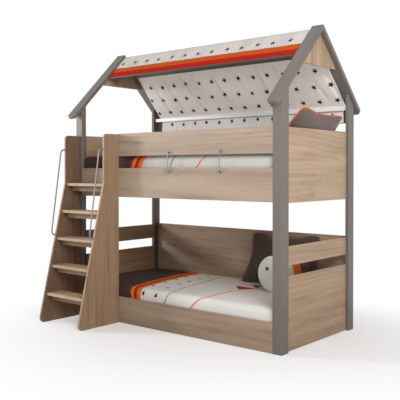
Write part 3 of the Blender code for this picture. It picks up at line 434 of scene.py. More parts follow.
# --- Steel -----------------------------------------------------------------------------------------
# Handrails of bent round bar with a grey powder coat, nickelled tie rods with screwed feet, and
# burnished bolt and screw heads.
coat = fine_finish(
    "grey powder coat", (1800.0,) * 3, 1.0, bump=(0.2, 0.0002),
    Base_Color=tint(136, 136, 136), Metallic=0.6, Roughness=0.42,
)
nickel = fine_finish(
    "nickel", (500.0, 500.0, 20.0), 2.0, dull=(0.36, 0.52), Base_Color=tint(136, 133, 128), Metallic=1.0,
)
burnished = fine_finish(
    "burnished steel", (700.0,) * 3, 2.0, dull=(0.32, 0.5), Base_Color=tint(88, 82, 76), Metallic=1.0,
)
for hand in ("left", "right"):
    dress(coat, f"handrail_{hand}")
    dress(nickel, f"tie_rod_{hand}")
    dress(burnished, f"stair_bolt_{hand}_front", f"stair_bolt_{hand}_rear")
    dress(burnished, f"handrail_screw_{hand}_top", f"handrail_screw_{hand}_bottom")

# --- Mattresses ------------------------------------------------------------------------------------
# Foam blocks in a quilted white ticking with a piped seam round the top and the bottom. They mostly
# hide under the bedspreads, and show between the slats and at the ends.
weave, given = new_group("woven cloth", "ShaderNodeTree", {"Vector": "Vector", "Threads": 900.0})
turns = given["Threads"] * pi
warp, weft = [calc("SINE", part * turns) for part in split(given["Vector"])[:2]]
slub = scatter(given["Vector"], (120.0, 700.0, 120.0), 2.0)
crossed = scatter(given["Vector"], (700.0, 120.0, 120.0), 2.0, 3.3)
set_outputs(weave, "Float", {"Height": warp * weft, "Tone": (slub + crossed) * 0.5})


def finish_cloth(shader, colour, place, threads=900.0, depth=0.0005, crease=0.0):
    """Weave over a colour: small changes of tone, and the relief of threads and creases."""
    fabric = use_group(weave, {"Vector": place, "Threads": threads})
    height = fabric["Tone"] * 0.6 + fabric["Height"] * 0.2 + crease
    tone = ease(fabric["Tone"], 0.3, 0.7, 0.94, 1.03)
    feed(shader, {"Base Color": shaded(colour, tone), "Normal": relief(height, 0.5, depth)})


def plain_cloth(name, colour, **constants):
    """Woven cloth of one colour."""
    material, shader, place = new_material(name, **constants)
    finish_cloth(shader, colour, place)
    return material


QUILT_PITCH = 0.11
ticking, shader, place = new_material("ticking", Roughness=0.85, Sheen_Weight=0.3)
x, y, z = split(place)
slopes = [abs(calc("SINE", (x + z + y * sign) * (pi / QUILT_PITCH))) for sign in (1.0, -1.0)]
finish_cloth(shader, tint(226, 223, 214), place, crease=(slopes[0] * slopes[1]) ** 0.5 * 9.0)
white_cord = plain_cloth("white piping", tint(214, 210, 202), Roughness=0.8)


def mesh_from(name, shape, closed=True):
    """Smooth mesh from a bmesh; a closed one gets its normals out."""
    if closed:
        bmesh.ops.recalc_face_normals(shape, faces=shape.faces)
        if shape.calc_volume(signed=True) < 0:
            bmesh.ops.reverse_faces(shape, faces=shape.faces)
    for face in shape.faces:
        face.smooth = True
    mesh = bpy.data.meshes.new(name)
    shape.to_mesh(mesh)
    shape.free()
    return mesh


def tube(name, points, radius, material):
    """Round cord along a closed ring of points."""
    curve = bpy.data.curves.new(name, "CURVE")
    curve.dimensions = "3D"
    spline = curve.splines.new("POLY")
    spline.points.add(len(points) - 1)
    for spot, point in zip(spline.points, points):
        spot.co = (*point, 1.0)
    spline.use_cyclic_u = True
    curve.bevel_depth = radius
    curve.bevel_resolution = 2
    holder = add_object(name, curve)
    mesh = real_mesh(holder)
    bpy.data.objects.remove(holder)
    for face in mesh.polygons:
        face.use_smooth = True
    mesh.materials.clear()
    return add_object(name, mesh, material)


CORNER_ROUND = 0.05
EDGE_ROUND = 0.018
PIPING_RADIUS = 0.0026
PIPING_ROUND = 0.0488
PIPING_INSET = 0.02
for level in ("lower", "upper"):
    low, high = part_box(f"{level}_mattress")
    shape = bmesh.new()
    bmesh.ops.create_cube(shape, size=1.0)
    for vertex in shape.verts:
        vertex.co = [low[i] + (vertex.co[i] + 0.5) * (high[i] - low[i]) for i in range(3)]
    upright = [e for e in shape.edges if abs(e.verts[0].co.z - e.verts[1].co.z) > 0.05]
    bmesh.ops.bevel(shape, geom=upright, offset=CORNER_ROUND, segments=8, profile=0.5, affect="EDGES")
    level_edges = [e for e in shape.edges if abs(e.verts[0].co.z - e.verts[1].co.z) < 0.001]
    rims = [e for e in level_edges if len(e.link_faces) == 2 and e.calc_face_angle() > 0.5]
    bmesh.ops.bevel(shape, geom=rims, offset=EDGE_ROUND, segments=5, profile=0.5, affect="EDGES")
    mattress = add_object(f"{level}_mattress_block", mesh_from("mattress", shape), ticking)
    for polygon in mattress.data.polygons:
        polygon.use_smooth = polygon.area < 0.02
    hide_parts(f"{level}_mattress")
    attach(mattress, "frame")
    corners = ((high.x, high.y, 1, 1), (low.x, high.y, -1, 1), (low.x, low.y, -1, -1), (high.x, low.y, 1, -1))
    for edge, z in (("top", high.z - PIPING_INSET), ("bottom", low.z + PIPING_INSET)):
        line = []
        for number, (x, y, x_way, y_way) in enumerate(corners):
            centre = Vector((x - x_way * CORNER_ROUND, y - y_way * CORNER_ROUND, z))
            for step in range(7):
                a = radians(90 * number + 15 * step)
                line.append(centre + PIPING_ROUND * Vector((cos(a), sin(a), 0)))
        piping = tube(f"{level}_mattress_piping_{edge}", line, PIPING_RADIUS, white_cord)
        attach(piping, "frame")

# --- Bedspreads ------------------------------------------------------------------------------------
# Cotton spreads with a thin filling lie over the mattresses and are tucked in at the rails. From the
# foot they're sewn of brown, orange, red and orange strips, a starred strip and white cloth, which is
# printed with a ribbon and two pennants.
STAR_INNER_SHARE = 0.42
STAR_JITTER = 0.012
STAR_SWAY = 0.7
stars, given = new_group("printed stars", "ShaderNodeTree", {
    "Vector": "Vector", "Pitch": 0.142, "Row pitch": 0.1435, "Radius": 0.025, "Row run": 1.0, "Fray": 0.0006,
})
x, y = split(given["Vector"])[:2]
rows = y / given["Row pitch"]
row = calc("ROUND", rows)
moved_row = calc("FLOOR", (row + (given["Row run"] - 1.0)) / given["Row run"])
columns = x / given["Pitch"] - moved_row % 2.0 * 0.5
column = calc("ROUND", columns)
chance = make("ShaderNodeTexWhiteNoise", {"Vector": vector(column, row)}, "Color", noise_dimensions="2D")
draws = [draw - 0.5 for draw in split(chance, "ShaderNodeSeparateColor")]
local_x = (columns - column) * given["Pitch"] + draws[0] * STAR_JITTER
local_y = (rows - row) * given["Row pitch"] + draws[1] * STAR_JITTER
fifths = (calc("ARCTAN2", local_x, local_y) + draws[2] * STAR_SWAY) / (2 * pi / 5)
folded = abs(fifths - calc("ROUND", fifths)) * (2 * pi / 5)
reach = calc("SQRT", local_x * local_x + local_y * local_y)
edge = Vector((STAR_INNER_SHARE * sin(pi / 5), 1 - STAR_INNER_SHARE * cos(pi / 5))).normalized()
beyond = (reach * calc("COSINE", folded) - given["Radius"]) * edge.x + reach * calc("SINE", folded) * edge.y
fray = {"Value": beyond, "From Min": given["Fray"], "From Max": given["Fray"] * -1.0}
set_outputs(stars, "Float", {"Mask": make("ShaderNodeMapRange", fray)})

WHITE = tint(224, 222, 218)
INK = tint(52, 46, 50)
BROWN = tint(71, 55, 49)
ORANGE = tint(226, 112, 28)
RED = tint(178, 34, 20)
TAUPE = tint(112, 100, 94)
COTTON = {"flat": True, "Roughness": 0.9, "Specular_IOR_Level": 0.15}


def stars_at(x, y, pitch, row_pitch, radius, row_run=1.0):
    """Mask of printed stars; after each run of rows, the columns shift by half a pitch."""
    values = {"Pitch": pitch, "Row pitch": row_pitch, "Radius": radius, "Row run": row_run}
    return use_group(stars, {"Vector": vector(x, y), **values})["Mask"]


def strips_of(value, end, stops):
    """Hard-edged strips of colour along the term up to the end; stops are (where it begins, colour)."""
    start = stops[0][0]
    share = make("ShaderNodeMapRange", {"Value": value, "From Min": start, "From Max": end}, "Result")
    ramp = add_node(value.tree, "ShaderNodeValToRGB", {0: share})
    ramp.color_ramp.interpolation = "CONSTANT"
    elements = ramp.color_ramp.elements
    elements[0].position = 0.0
    elements[0].color = stops[0][1]
    elements.remove(elements[1])
    for place, colour in stops[1:]:
        elements.new((place - start) / (end - start)).color = colour
    return Term(value.tree, ramp.outputs["Color"])


SHOULDER_RUN = 0.15
SPREAD_LEAN = 0.17
SPREAD_FAN = 0.1
SPREAD_DRAPE = 1.5
SPREAD_SLIP = 0.45
STAR_STRIP = -0.309
LINE = -0.004
STRIP_SEAMS = (-0.427, -0.388, -0.349, STAR_STRIP)
RIBBON_HALF = 0.0082
PENNANTS = (
    (((0.232, 0.648), (0.367, 0.505), (0.450, 0.628)), RED),
    (((0.288, 0.788), (0.452, 0.622), (0.400, 0.790)), TAUPE),
)


def spread_material(name, shift, star_shift, ribbon, drape, white):
    """UV is (along the bed, run from the front hem over the top) in metres. The strips fan out a
    little towards the wall, and by the drape share below the front shoulder. The ribbon is (place at
    the shoulder, slant below it)."""
    material, shader, place = new_material(name, **COTTON)
    x, run = split(place)[:2]
    over = calc("MAXIMUM", run - SHOULDER_RUN, 0.0)
    under = calc("MAXIMUM", SHOULDER_RUN - run, 0.0)
    x = x + scatter(place, (9.0,) * 3, 1.0) * 0.008 + (shift - 0.004)
    fan = 1.0 - over * SPREAD_FAN - under * (SPREAD_DRAPE * drape)
    along = (x + over * SPREAD_LEAN + under * SPREAD_SLIP) / fan
    colour = strips_of(along, 1.1, (
        (-1.1, BROWN), (STRIP_SEAMS[0], ORANGE), (STRIP_SEAMS[1], RED), (STRIP_SEAMS[2], ORANGE),
        (STAR_STRIP, white), (LINE - 0.002, tint(78, 72, 72)), (LINE + 0.008, white),
    ))
    mask = stars_at(run - (0.094 + star_shift), along + 0.118, 0.158, 0.157, 0.026, 99.0)
    colour = mix(mask * (along > STAR_STRIP) * (along < -0.03), colour, INK)

    bend = calc("MAXIMUM", over - 0.2, 0.0)
    ribbon_line = over * 0.08 - under * ribbon[1] + bend * bend * 1.3 + ribbon[0]
    colour = mix((abs(x - ribbon_line) < RIBBON_HALF) * (over < 0.60), colour, ORANGE)
    for corners, paint in PENNANTS:
        inside = 1.0
        for (ax, ay), (bx, by) in zip(corners, corners[1:] + corners[:1]):
            inside = inside * (x * (ay - by) + run * (bx - ax) + (ax * by - bx * ay) > 0.0)
        colour = mix(inside, colour, paint)

    groove = 1.0
    for seam in (*STRIP_SEAMS, LINE):
        off_seam = along - seam
        groove = calc("MINIMUM", groove, ease(abs(off_seam), 0.0, 0.005))
        thread = (abs(off_seam + 0.0035) < 0.0006) * (run % 0.005 < 0.0034)
        colour = mix(thread * 0.6, colour, tint(236, 228, 214))
    finish_cloth(shader, colour, place, 800.0, 0.0006, groove * 2.5)
    return material


def new_shape():
    """An empty bmesh with a flat UV layer."""
    shape = bmesh.new()
    shape.loops.layers.uv.new("flat")
    return shape


def skin(shape, verts, uv_at, closed=False):
    """Quads between the rows of vertices, closed round each row or open, with the UV that uv_at
    gives for a row and a column."""
    layer = shape.loops.layers.uv["flat"]
    count = len(verts[0])
    made = []
    for i in range(len(verts) - 1):
        for j in range(count if closed else count - 1):
            corners = ((i, j), (i + 1, j), (i + 1, j + 1), (i, j + 1))
            face = shape.faces.new([verts[p][q % count] for p, q in corners])
            for loop, spot in zip(face.loops, corners):
                loop[layer].uv = uv_at(*spot)
            made.append(face)
    return made


def lumps(x, y, z):
    return noise.noise(Vector((x, y, z)))


SPREAD_STEPS = 150
SPREAD_ACROSS = 64
SPREAD_THICKNESS = 0.028
SPREAD_CROWN = 0.010
SHOULDER = 0.050
SKIRT = 0.012
END_ROUND = 0.045


def spread_section(low, high, top, full):
    """(y, z) over the spread from the front hem to the rear one; full is its share of thickness."""
    crest = top + full * SPREAD_THICKNESS
    rise = full * SPREAD_THICKNESS + SHOULDER / 2
    front = [(low.y, low.z + (crest - rise - low.z) * step / 4) for step in range(4)]
    for step in range(9):
        a = radians(90) * step / 8
        front.append((low.y + SHOULDER * (1 - cos(a)), crest - rise + rise * sin(a)))
    wide = high.y - low.y - 2 * SHOULDER
    shares = [step / SPREAD_ACROSS for step in range(1, SPREAD_ACROSS)]
    across = [(low.y + SHOULDER + s * wide, crest + full * SPREAD_CROWN * sin(pi * s)) for s in shares]
    return front + across + [(low.y + high.y - y, z) for y, z in reversed(front)]


def bedspread(level, shift, star_shift, ribbon, drape, white):
    """A closed shell over the mattress, thin at both ends, with soft waves and creases."""
    low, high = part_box(f"{level}_duvet")
    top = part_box(f"{level}_mattress")[1].z + 0.0006
    shape = new_shape()
    rings = []
    for i in range(SPREAD_STEPS + 1):
        x = low.x + (high.x - low.x) * (i / SPREAD_STEPS)
        from_end = min(min(x - low.x, high.x - x) / END_ROUND, 1)
        section = spread_section(low, high, top, 0.3 + 0.7 * sqrt(max(0, 1 - (1 - from_end) ** 2)))
        ring = []
        run = 0.0
        for (last_y, last_z), (y, z) in zip(section[:1] + section, section):
            run += hypot(y - last_y, z - last_z)
            s = min(max((y - low.y) / (high.y - low.y), 0), 1)
            soft = from_end * min(1, 6 * s * (1 - s) + 0.15)
            wave = lumps(x * 2.1 + shift * 9, y * 3.2, 1.7)
            ripple = lumps(x * 7 + y * 4, y * 9 - x * 3, 4.1 + shift)
            crease = max(0, 1 - abs(lumps(x * 3.1 - y * 1.2, y * 2.3, 9.2 + shift) / 0.07)) ** 2
            lift = soft * (0.0045 * wave + 0.0022 * ripple + 0.0035 * crease)
            ring.append((Vector((x, y, min(z + lift, high.z + 0.004))), run))
        rear, front = high.y - SKIRT, low.y + SKIRT
        inner = ((rear, low.z), (rear, top), (front, top), (front, low.z))
        rings.append(ring + [(Vector((x, y, z)), run) for y, z in inner])
    verts = [[shape.verts.new(point) for point, run in ring] for ring in rings]
    count = len(verts[0])
    skin(shape, verts, lambda i, j: (rings[i][0][0].x, rings[i][j % count][1]), closed=True)
    for end in (0, SPREAD_STEPS):
        face = shape.faces.new(verts[end])
        for loop, (point, run) in zip(face.loops, rings[end]):
            loop[shape.loops.layers.uv["flat"]].uv = (point.x, run)
    bmesh.ops.triangulate(shape, faces=[f for f in shape.faces if len(f.verts) > 4])
    material = spread_material(f"{level} bedspread", shift, star_shift, ribbon, drape, white)
    piece = add_object(f"{level}_bedspread", mesh_from("bedspread", shape), material)
    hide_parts(f"{level}_duvet")
    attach(piece, "frame")


bedspread("lower", 0.0, 0.0, (0.335, 1.07), 1.0, WHITE)
# The upper spread's white is painted darker than the lower one's: painted shade under the guard.
bedspread("upper", -0.062, 0.078, (0.320, 0.90), 0.12, tint(198, 196, 192))

# --- Pillows ---------------------------------------------------------------------------------------
# Stuffed covers sewn from two panels with an orange piping in the seam: the lower one in ribbed dark
# brown cloth, the upper one in plain taupe. The stuffing is simulated as cloth under pressure.
orange_cord = plain_cloth("orange piping", tint(212, 104, 44), Roughness=0.8, Specular_IOR_Level=0.2)
# The lower pillow's orange piping is painted a darker rust, as painted shade along its seam.
rust_cord_with_painted_shade = plain_cloth("rust piping", tint(122, 66, 40), Roughness=0.8)

RIB_PITCH = 0.0222
VELVETY = {"flat": True, "Roughness": 0.9, "Sheen_Weight": 0.35, "Sheen_Roughness": 0.4}
brown_cloth, shader, place = new_material("ribbed brown cloth", **VELVETY)
rib_wave = abs(calc("SINE", split(place)[0] * (pi / RIB_PITCH)))
# The ribs' grooves are painted darker and their crests lighter, as painted shade and highlight on the brown
# cloth.
colour = mix(ease(rib_wave, 0.05, 0.8), tint(40, 31, 27), tint(80, 65, 55))
finish_cloth(shader, colour, place, 700.0, 0.0012, rib_wave ** 0.5 * 3.0)

taupe_cloth, shader, place = new_material("taupe cloth", **VELVETY)
finish_cloth(shader, tint(99, 86, 80), place, 700.0, 0.0006)

PILLOW_DRAW = 0.014
CORNER_TUCK = 0.016
STUFFING = {
    "quality": 6, "mass": 0.3, "tension_stiffness": 20, "compression_stiffness": 12, "shear_stiffness": 5,
    "bending_stiffness": 0.4, "use_pressure": True, "uniform_pressure_force": 4, "shrink_min": -0.07,
}
STUFFING_FRAMES = 20
STUFFING_CAP = 0.035


def pillow_point(u, v, face, size, crown, spread, slump):
    """A point of the cover: u and v run from -1 to 1 over the panel, which is wider below by the
    spread and lower at its far end by the slump."""
    width, height = size
    swell = ((1 - abs(u) ** 2.4) * (1 - abs(v) ** 2.4)) ** 0.55 if abs(u) < 1 and abs(v) < 1 else 0.0
    tuck = CORNER_TUCK * v ** 8 * u ** 8
    x = u * (width / 2 - PILLOW_DRAW * (1 - v * v) - tuck) * (1 - spread * v)
    z = v * (height / 2 - PILLOW_DRAW * (1 - u * u) - tuck) * (1 + slump * u)
    return Vector((x, face * crown / 2 * swell, z))


def stuff(piece, draw_share):
    """Blow the cover up under cloth pressure; its pull on the rim counts by the draw share."""
    cloth = piece.modifiers.new("stuffing", "CLOTH")
    for key, value in STUFFING.items():
        setattr(cloth.settings, key, value)
    cloth.settings.effector_weights.gravity = 0
    cloth.collision_settings.use_collision = False
    cloth.collision_settings.use_self_collision = False
    cloth.point_cache.frame_start = 1
    cloth.point_cache.frame_end = STUFFING_FRAMES
    for number in range(1, STUFFING_FRAMES + 1):
        bpy.context.scene.frame_set(number)
    graph = bpy.context.evaluated_depsgraph_get()
    blown = [vertex.co.copy() for vertex in piece.evaluated_get(graph).data.vertices]
    piece.modifiers.clear()
    bpy.context.scene.frame_set(1)
    for vertex, moved in zip(piece.data.vertices, blown):
        shift = moved - vertex.co
        if shift.length > STUFFING_CAP:
            shift = shift.normalized() * STUFFING_CAP
        vertex.co += Vector((shift.x * draw_share, shift.y, shift.z * draw_share))


def pillow(
    node, material, size, crown, form, turn, steps, seed, cord, cord_radius, draw_share, bulge=0.0,
):
    """Build the cover and stuff it, then lay it in the CAD pillow's place. Form is its spread and
    slump, turn its lean and yaw; its end at +X bows out by the bulge."""
    shape = new_shape()
    columns, rows = steps
    rim = {}
    for face in (-1, 1):
        grid = []
        for i in range(columns + 1):
            grid.append([])
            for j in range(rows + 1):
                point = pillow_point(2 * i / columns - 1, 2 * j / rows - 1, face, size, crown, *form)
                spot = rim.get((i, j)) or shape.verts.new(point)
                if i in (0, columns) or j in (0, rows):
                    rim[i, j] = spot
                grid[i].append(spot)
        skin(shape, grid, lambda i, j: (size[0] * i / columns, size[1] * j / rows))
    shape.verts.index_update()
    seam = [(i, 0) for i in range(columns)] + [(columns, j) for j in range(rows)]
    seam += [(i, rows) for i in range(columns, 0, -1)] + [(0, j) for j in range(rows, 0, -1)]
    seam = [rim[spot].index for spot in seam]
    piece = add_object(node + "_cover", mesh_from("pillow", shape), material)
    stuff(piece, draw_share)

    vertices = piece.data.vertices
    reach = [max(abs(v.co[i]) for v in vertices) for i in range(3)]
    wanted = (size[0] / 2 * (1 + form[0]), crown / 2, size[1] / 2 * (1 + form[1]))
    for vertex in vertices:
        for i in range(3):
            vertex.co[i] *= wanted[i] / reach[i]
        high_share = max(1 - ((vertex.co.z / wanted[2] - 0.35) / 0.65) ** 2, 0)
        vertex.co.x += bulge * max(vertex.co.x / wanted[0], 0) ** 3 * high_share
        vertex.co.y *= 1 + 0.10 * noise.noise(vertex.co * 6.0 + Vector((seed, 0, 0)))
    piece.data.transform(Matrix.Rotation(turn[1], 4, "Z") @ Matrix.Rotation(-turn[0], 4, "X"))
    low, high = [Vector([pick(v.co[i] for v in vertices) for i in range(3)]) for pick in (min, max)]
    node_low, node_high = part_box(node)
    piece.data.transform(Matrix.Translation((node_low + node_high - low - high) / 2))
    piping = tube(node + "_piping", [vertices[k].co.copy() for k in seam], cord_radius, cord)
    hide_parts(node)
    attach(piece, node)
    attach(piping, node)


pillow(
    "lower_pillow", brown_cloth, size=(0.644, 0.412), crown=0.105, form=(0.09, 0.0),
    turn=(radians(14), radians(8)), steps=(84, 56), seed=2.0, cord=rust_cord_with_painted_shade, cord_radius=0.0036,
    draw_share=0.62,
)
pillow(
    "upper_pillow", taupe_cloth, size=(0.610, 0.360), crown=0.130, form=(0.0, 0.117),
    turn=(radians(40), radians(-90)), steps=(80, 48), seed=7.0, cord=orange_cord, cord_radius=0.0052,
    draw_share=0.35, bulge=0.036,
)

# --- Bolster ---------------------------------------------------------------------------------------
# A stuffed roll of white, orange and brown cloth, seamed round. Its front end is a gathered white disc
# with a printed star and white piping, and its rear rim has an orange piping.
low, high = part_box("bolster")
middle = (low + high) / 2
BOLSTER_RADIUS = (high.x - low.x) / 2
BOLSTER_LENGTH = high.y - low.y - 0.024
BOLSTER_FRONT = low.y + 0.003
BOLSTER_SEAMS = (BOLSTER_LENGTH * 0.285, BOLSTER_LENGTH * 0.605)
BOLSTER_ROUND = 0.018
PUCKERS = 14.0
bolster_cloth, shader, place = new_material("bolster cloth", **COTTON)
colour = strips_of(split(place)[1], 0.4, (
    (-0.2, WHITE), (BOLSTER_SEAMS[0] - 0.002, tint(60, 50, 50)), (BOLSTER_SEAMS[0] + 0.002, ORANGE),
    (BOLSTER_SEAMS[1], tint(92, 80, 76)),
))
finish_cloth(shader, colour, place, 800.0, 0.0006)

disc_cloth, shader, place = new_material("bolster disc", Roughness=0.88, Sheen_Weight=0.2)
x, y, z = split(place)
x, z = x - middle.x, z - middle.z
colour = mix(stars_at(x + 0.043, z - 0.040, 0.5, 0.5, 0.025), tint(216, 213, 208), INK)
puckers = abs(calc("SINE", calc("ARCTAN2", x, z) * PUCKERS))
finish_cloth(shader, colour, vector(x, y, z), 800.0, 0.0010, puckers * 2.0)

TURNS = 96
STRETCH_STEPS = 44
DISC_STEPS = 12
ROUND_STEPS = 7
HUB = 0.004
flat_reach = BOLSTER_RADIUS - BOLSTER_ROUND - HUB
profile = []
for step in range(DISC_STEPS + 1):
    share = step / DISC_STEPS
    profile.append((HUB + share * flat_reach, -0.003 * (1 - share * share), 0.0))
rounds = [radians(90 * step / ROUND_STEPS) for step in range(ROUND_STEPS + 1)]
for a in rounds[1:]:
    profile.append((BOLSTER_RADIUS - BOLSTER_ROUND * (1 - sin(a)), BOLSTER_ROUND * (1 - cos(a)), 0.001))
for step in range(1, STRETCH_STEPS):
    y = BOLSTER_ROUND + (BOLSTER_LENGTH - 2 * BOLSTER_ROUND) * step / STRETCH_STEPS
    groove = sum(0.0035 * exp(-(((y - seam) / 0.006) ** 2)) for seam in BOLSTER_SEAMS)
    profile.append((BOLSTER_RADIUS - groove - 0.002 * (1 - sin(pi * y / BOLSTER_LENGTH)), y, 0.001))
for a in rounds:
    y = BOLSTER_LENGTH - BOLSTER_ROUND * (1 - sin(a))
    profile.append((BOLSTER_RADIUS - BOLSTER_ROUND * (1 - cos(a)), y, 0.001))
for step in range(1, DISC_STEPS):
    profile.append((HUB + (1 - step / DISC_STEPS) * flat_reach, BOLSTER_LENGTH, 0.0))


def ring_point(k, radius, along):
    a = 2 * pi * k / TURNS
    return Vector((middle.x + radius * sin(a), BOLSTER_FRONT + along, middle.z + radius * cos(a)))


shape = new_shape()
rings = []
for radius, along, slack in profile:
    near_seam = sum(exp(-(((along - seam) / 0.03) ** 2)) for seam in BOLSTER_SEAMS)
    rings.append([])
    for k in range(TURNS):
        a = 2 * pi * k / TURNS
        lump = lumps(cos(a) * 1.6, along * 9, sin(a) * 1.6)
        gather = 0.0012 * abs(lumps(k * 0.9, along * 2.5, 3.0)) * near_seam
        rings[-1].append(shape.verts.new(ring_point(k, radius * (1 + 0.008 * lump) - gather - slack, along)))
faces = skin(shape, rings, lambda i, k: (BOLSTER_RADIUS * 2 * pi * k / TURNS, profile[i][1]), closed=True)
for face in faces[:DISC_STEPS * TURNS]:
    face.material_index = 1
for ring in (rings[0], rings[-1]):
    shape.faces.new(ring)
bolster = add_object("bolster_roll", mesh_from("bolster", shape), bolster_cloth, disc_cloth)
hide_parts("bolster")
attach(bolster, "bolster")
for spot, along, material, slot in (
    ("front", 0.006, white_cord, "bed_cotton"), ("rear", BOLSTER_LENGTH - 0.006, orange_cord, "orange_cloth"),
):
    line = [ring_point(k, BOLSTER_RADIUS - 0.008, along) for k in range(TURNS)]
    piping = tube(f"bolster_piping_{spot}", line, 0.0032, material)
    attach(piping, "bolster")

# --- Cloth roof ------------------------------------------------------------------------------------
# Printed cotton sewn of a front and a rear panel, laid over the ridge boards and stretched down behind
# the white rail. Its front hem is a red and an orange strip.
CLOTH_WHITE = tint(243, 238, 233)
HEM_SEAMS = (-0.228, -0.168)
CLOTH_THICKNESS = 0.0022


def finish_thin_cloth(shader, colour, place, share):
    """Cotton weave, with that share of the light coming through from the cloth's other side."""
    finish_cloth(shader, colour, place, 800.0, 0.0005)
    glow = make("ShaderNodeBsdfTranslucent", {"Color": colour})
    mixed = make("ShaderNodeMixShader", {0: share, 1: Term(glow.tree, shader.outputs[0]), 2: glow})
    feed(glow.tree.nodes["Material Output"], {"Surface": mixed})


canopy_print, shader, place = new_material("canopy cotton", **COTTON)
x, y = split(place)[:2]
run = y + scatter(place, (14.0,) * 3, 2.0) * 0.010 - 0.005
colour = strips_of(run, 1.0, (
    (-0.4, tint(214, 44, 30)), (HEM_SEAMS[0], tint(228, 106, 42)), (HEM_SEAMS[1], CLOTH_WHITE),
    (-0.001, tint(190, 188, 184)), (0.001, CLOTH_WHITE),
))
front_mask = stars_at(x + 0.037, y + 0.107, 0.1448, 0.16, 0.026) * (y < -0.04) * (run > -0.165)
rear_mask = stars_at(x + 0.006, y - 0.3505, 0.1433, 0.1435, 0.027, 2.0) * (y > 0.02)
finish_thin_cloth(shader, mix(front_mask + rear_mask, colour, INK), place, 0.36)


def cloth_sheet(name, lines, runs, xs, material):
    """A thin sheet from lines of points, one for each x; its UV is (x, run) in metres."""
    shape = new_shape()
    verts = [[shape.verts.new(point) for point in line] for line in lines]
    skin(shape, verts, lambda i, j: (xs[i], runs[j]))
    piece = add_object(name, mesh_from(name, shape, closed=False), material)
    solid = piece.modifiers.new("cloth", "SOLIDIFY")
    solid.thickness = CLOTH_THICKNESS
    solid.offset = -1.0
    piece.data = real_mesh(piece)
    piece.modifiers.clear()
    return piece


CLOTH_DROP = 0.016
HEM_LIP = 0.017
TAIL = 0.033
rafter_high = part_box("rafter_rear_left")[1]
ridge_y = (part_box("rafter_front_left")[0].y + rafter_high.y) / 2
cloth_top = rafter_high.z - CLOTH_DROP * sqrt(2)
front_down = (ridge_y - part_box("canopy_cloth")[0].y) * sqrt(2) - CLOTH_DROP
rear_down = 0.225
rail_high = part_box("eave_rail")[1]
FOLDS = (
    (-0.86, 0.020), (-0.71, 0.030), (-0.52, 0.018), (-0.37, 0.026), (-0.16, 0.020),
    (0.06, 0.030), (0.31, 0.020), (0.47, 0.026), (0.70, 0.020), (0.87, 0.024),
)


def fold_at(x, down, slant):
    """Height of the soft creases that run down the slope, each with a steep and a gentle side."""
    total = 0.0
    for number, (place, width) in enumerate(FOLDS):
        off = x - place - slant * (0.7 + 0.6 * (number % 3) / 2) * down
        width = width * (1.3 if off > 0 else 0.4)
        total += (0.6 + 0.4 * ((number * 7) % 5) / 4) * exp(-((off / width) ** 2))
    return total


def on_slope(x, side, down, lift=0.0):
    """A point so far down from the ridge to the front (-1) or the rear (1), lifted off the slope."""
    return Vector((x, ridge_y + side * (down + lift) / sqrt(2), cloth_top - (down - lift) / sqrt(2)))


def canopy_column(x):
    """(point, run) from the front hem over the ridge and down behind the rail."""
    line = []
    for step in range(5):
        down = front_down + HEM_LIP * (1 - step / 4)
        line.append((on_slope(x, -1, down), -down))
    for step in range(1, 33):
        down = front_down * (1 - step / 32)
        pucker = lumps(x * 17 + down * 2, down * 2.4, 2.0) + 0.5 * lumps(x * 41, down * 6, 5.0)
        fade = min(1, 5 * down / front_down) * min(1, 10 * (1 - down / front_down) + 0.2)
        line.append((on_slope(x, -1, down, 0.0032 * max(pucker + 0.25, 0) * fade), -down))
    for step in range(1, 17):
        down = rear_down * step / 16
        line.append((on_slope(x, 1, down, 0.0016 * fold_at(x, down, 0.3) * min(1, down / 0.05)), down))
    start = on_slope(x, 1, rear_down).yz
    end = Vector((rail_high.y + 0.003, rail_high.z + 0.008))
    length = (end - start).length
    outward = Vector((start.y - end.y, end.x - start.x)).normalized()
    for step in range(1, 45):
        share = step / 44
        fade = min(1, 4 * (1 - share)) * min(1, 6 * share + 0.2)
        fold = 0.0125 * fold_at(x, share * length + 0.15, 0.20) * fade
        swell = 0.006 * lumps((x - 0.2 * share * length) * 6, share * 1.2, 3.0)
        ripple = 0.0014 * lumps(x * 16, share * 4, 6.0)
        edge = 0.012 * max((abs(x) - 0.78) / 0.185, 0) ** 2
        belly = 4 * share * (1 - share) * (ripple + swell - 0.014 + edge)
        spot = start.lerp(end, share) + outward * (belly + fold)
        wide = x + 0.045 * max(x - 0.6, 0) * min(max((share - 0.3) / 0.3, 0), 1)
        line.append((Vector((wide, spot.x, spot.y)), rear_down + share * length))
    for step in range(1, 9):
        down = TAIL * step / 8
        line.append((Vector((x, end.x, end.y - down)), rear_down + length + down))
    return line


CANOPY_STEPS = 240
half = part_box("canopy_cloth")[1].x
canopy_xs = [half * (2 * i / CANOPY_STEPS - 1) for i in range(CANOPY_STEPS + 1)]
canopy_columns = [canopy_column(x) for x in canopy_xs]
runs = [run for point, run in canopy_columns[0]]
canopy_lines = [[point for point, run in column] for column in canopy_columns]
canopy = cloth_sheet("canopy_sheet", canopy_lines, runs, canopy_xs, canopy_print)
canopy_flat = (2 * half, runs[-1] - runs[0])
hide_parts("canopy_cloth")
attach(canopy, "frame")

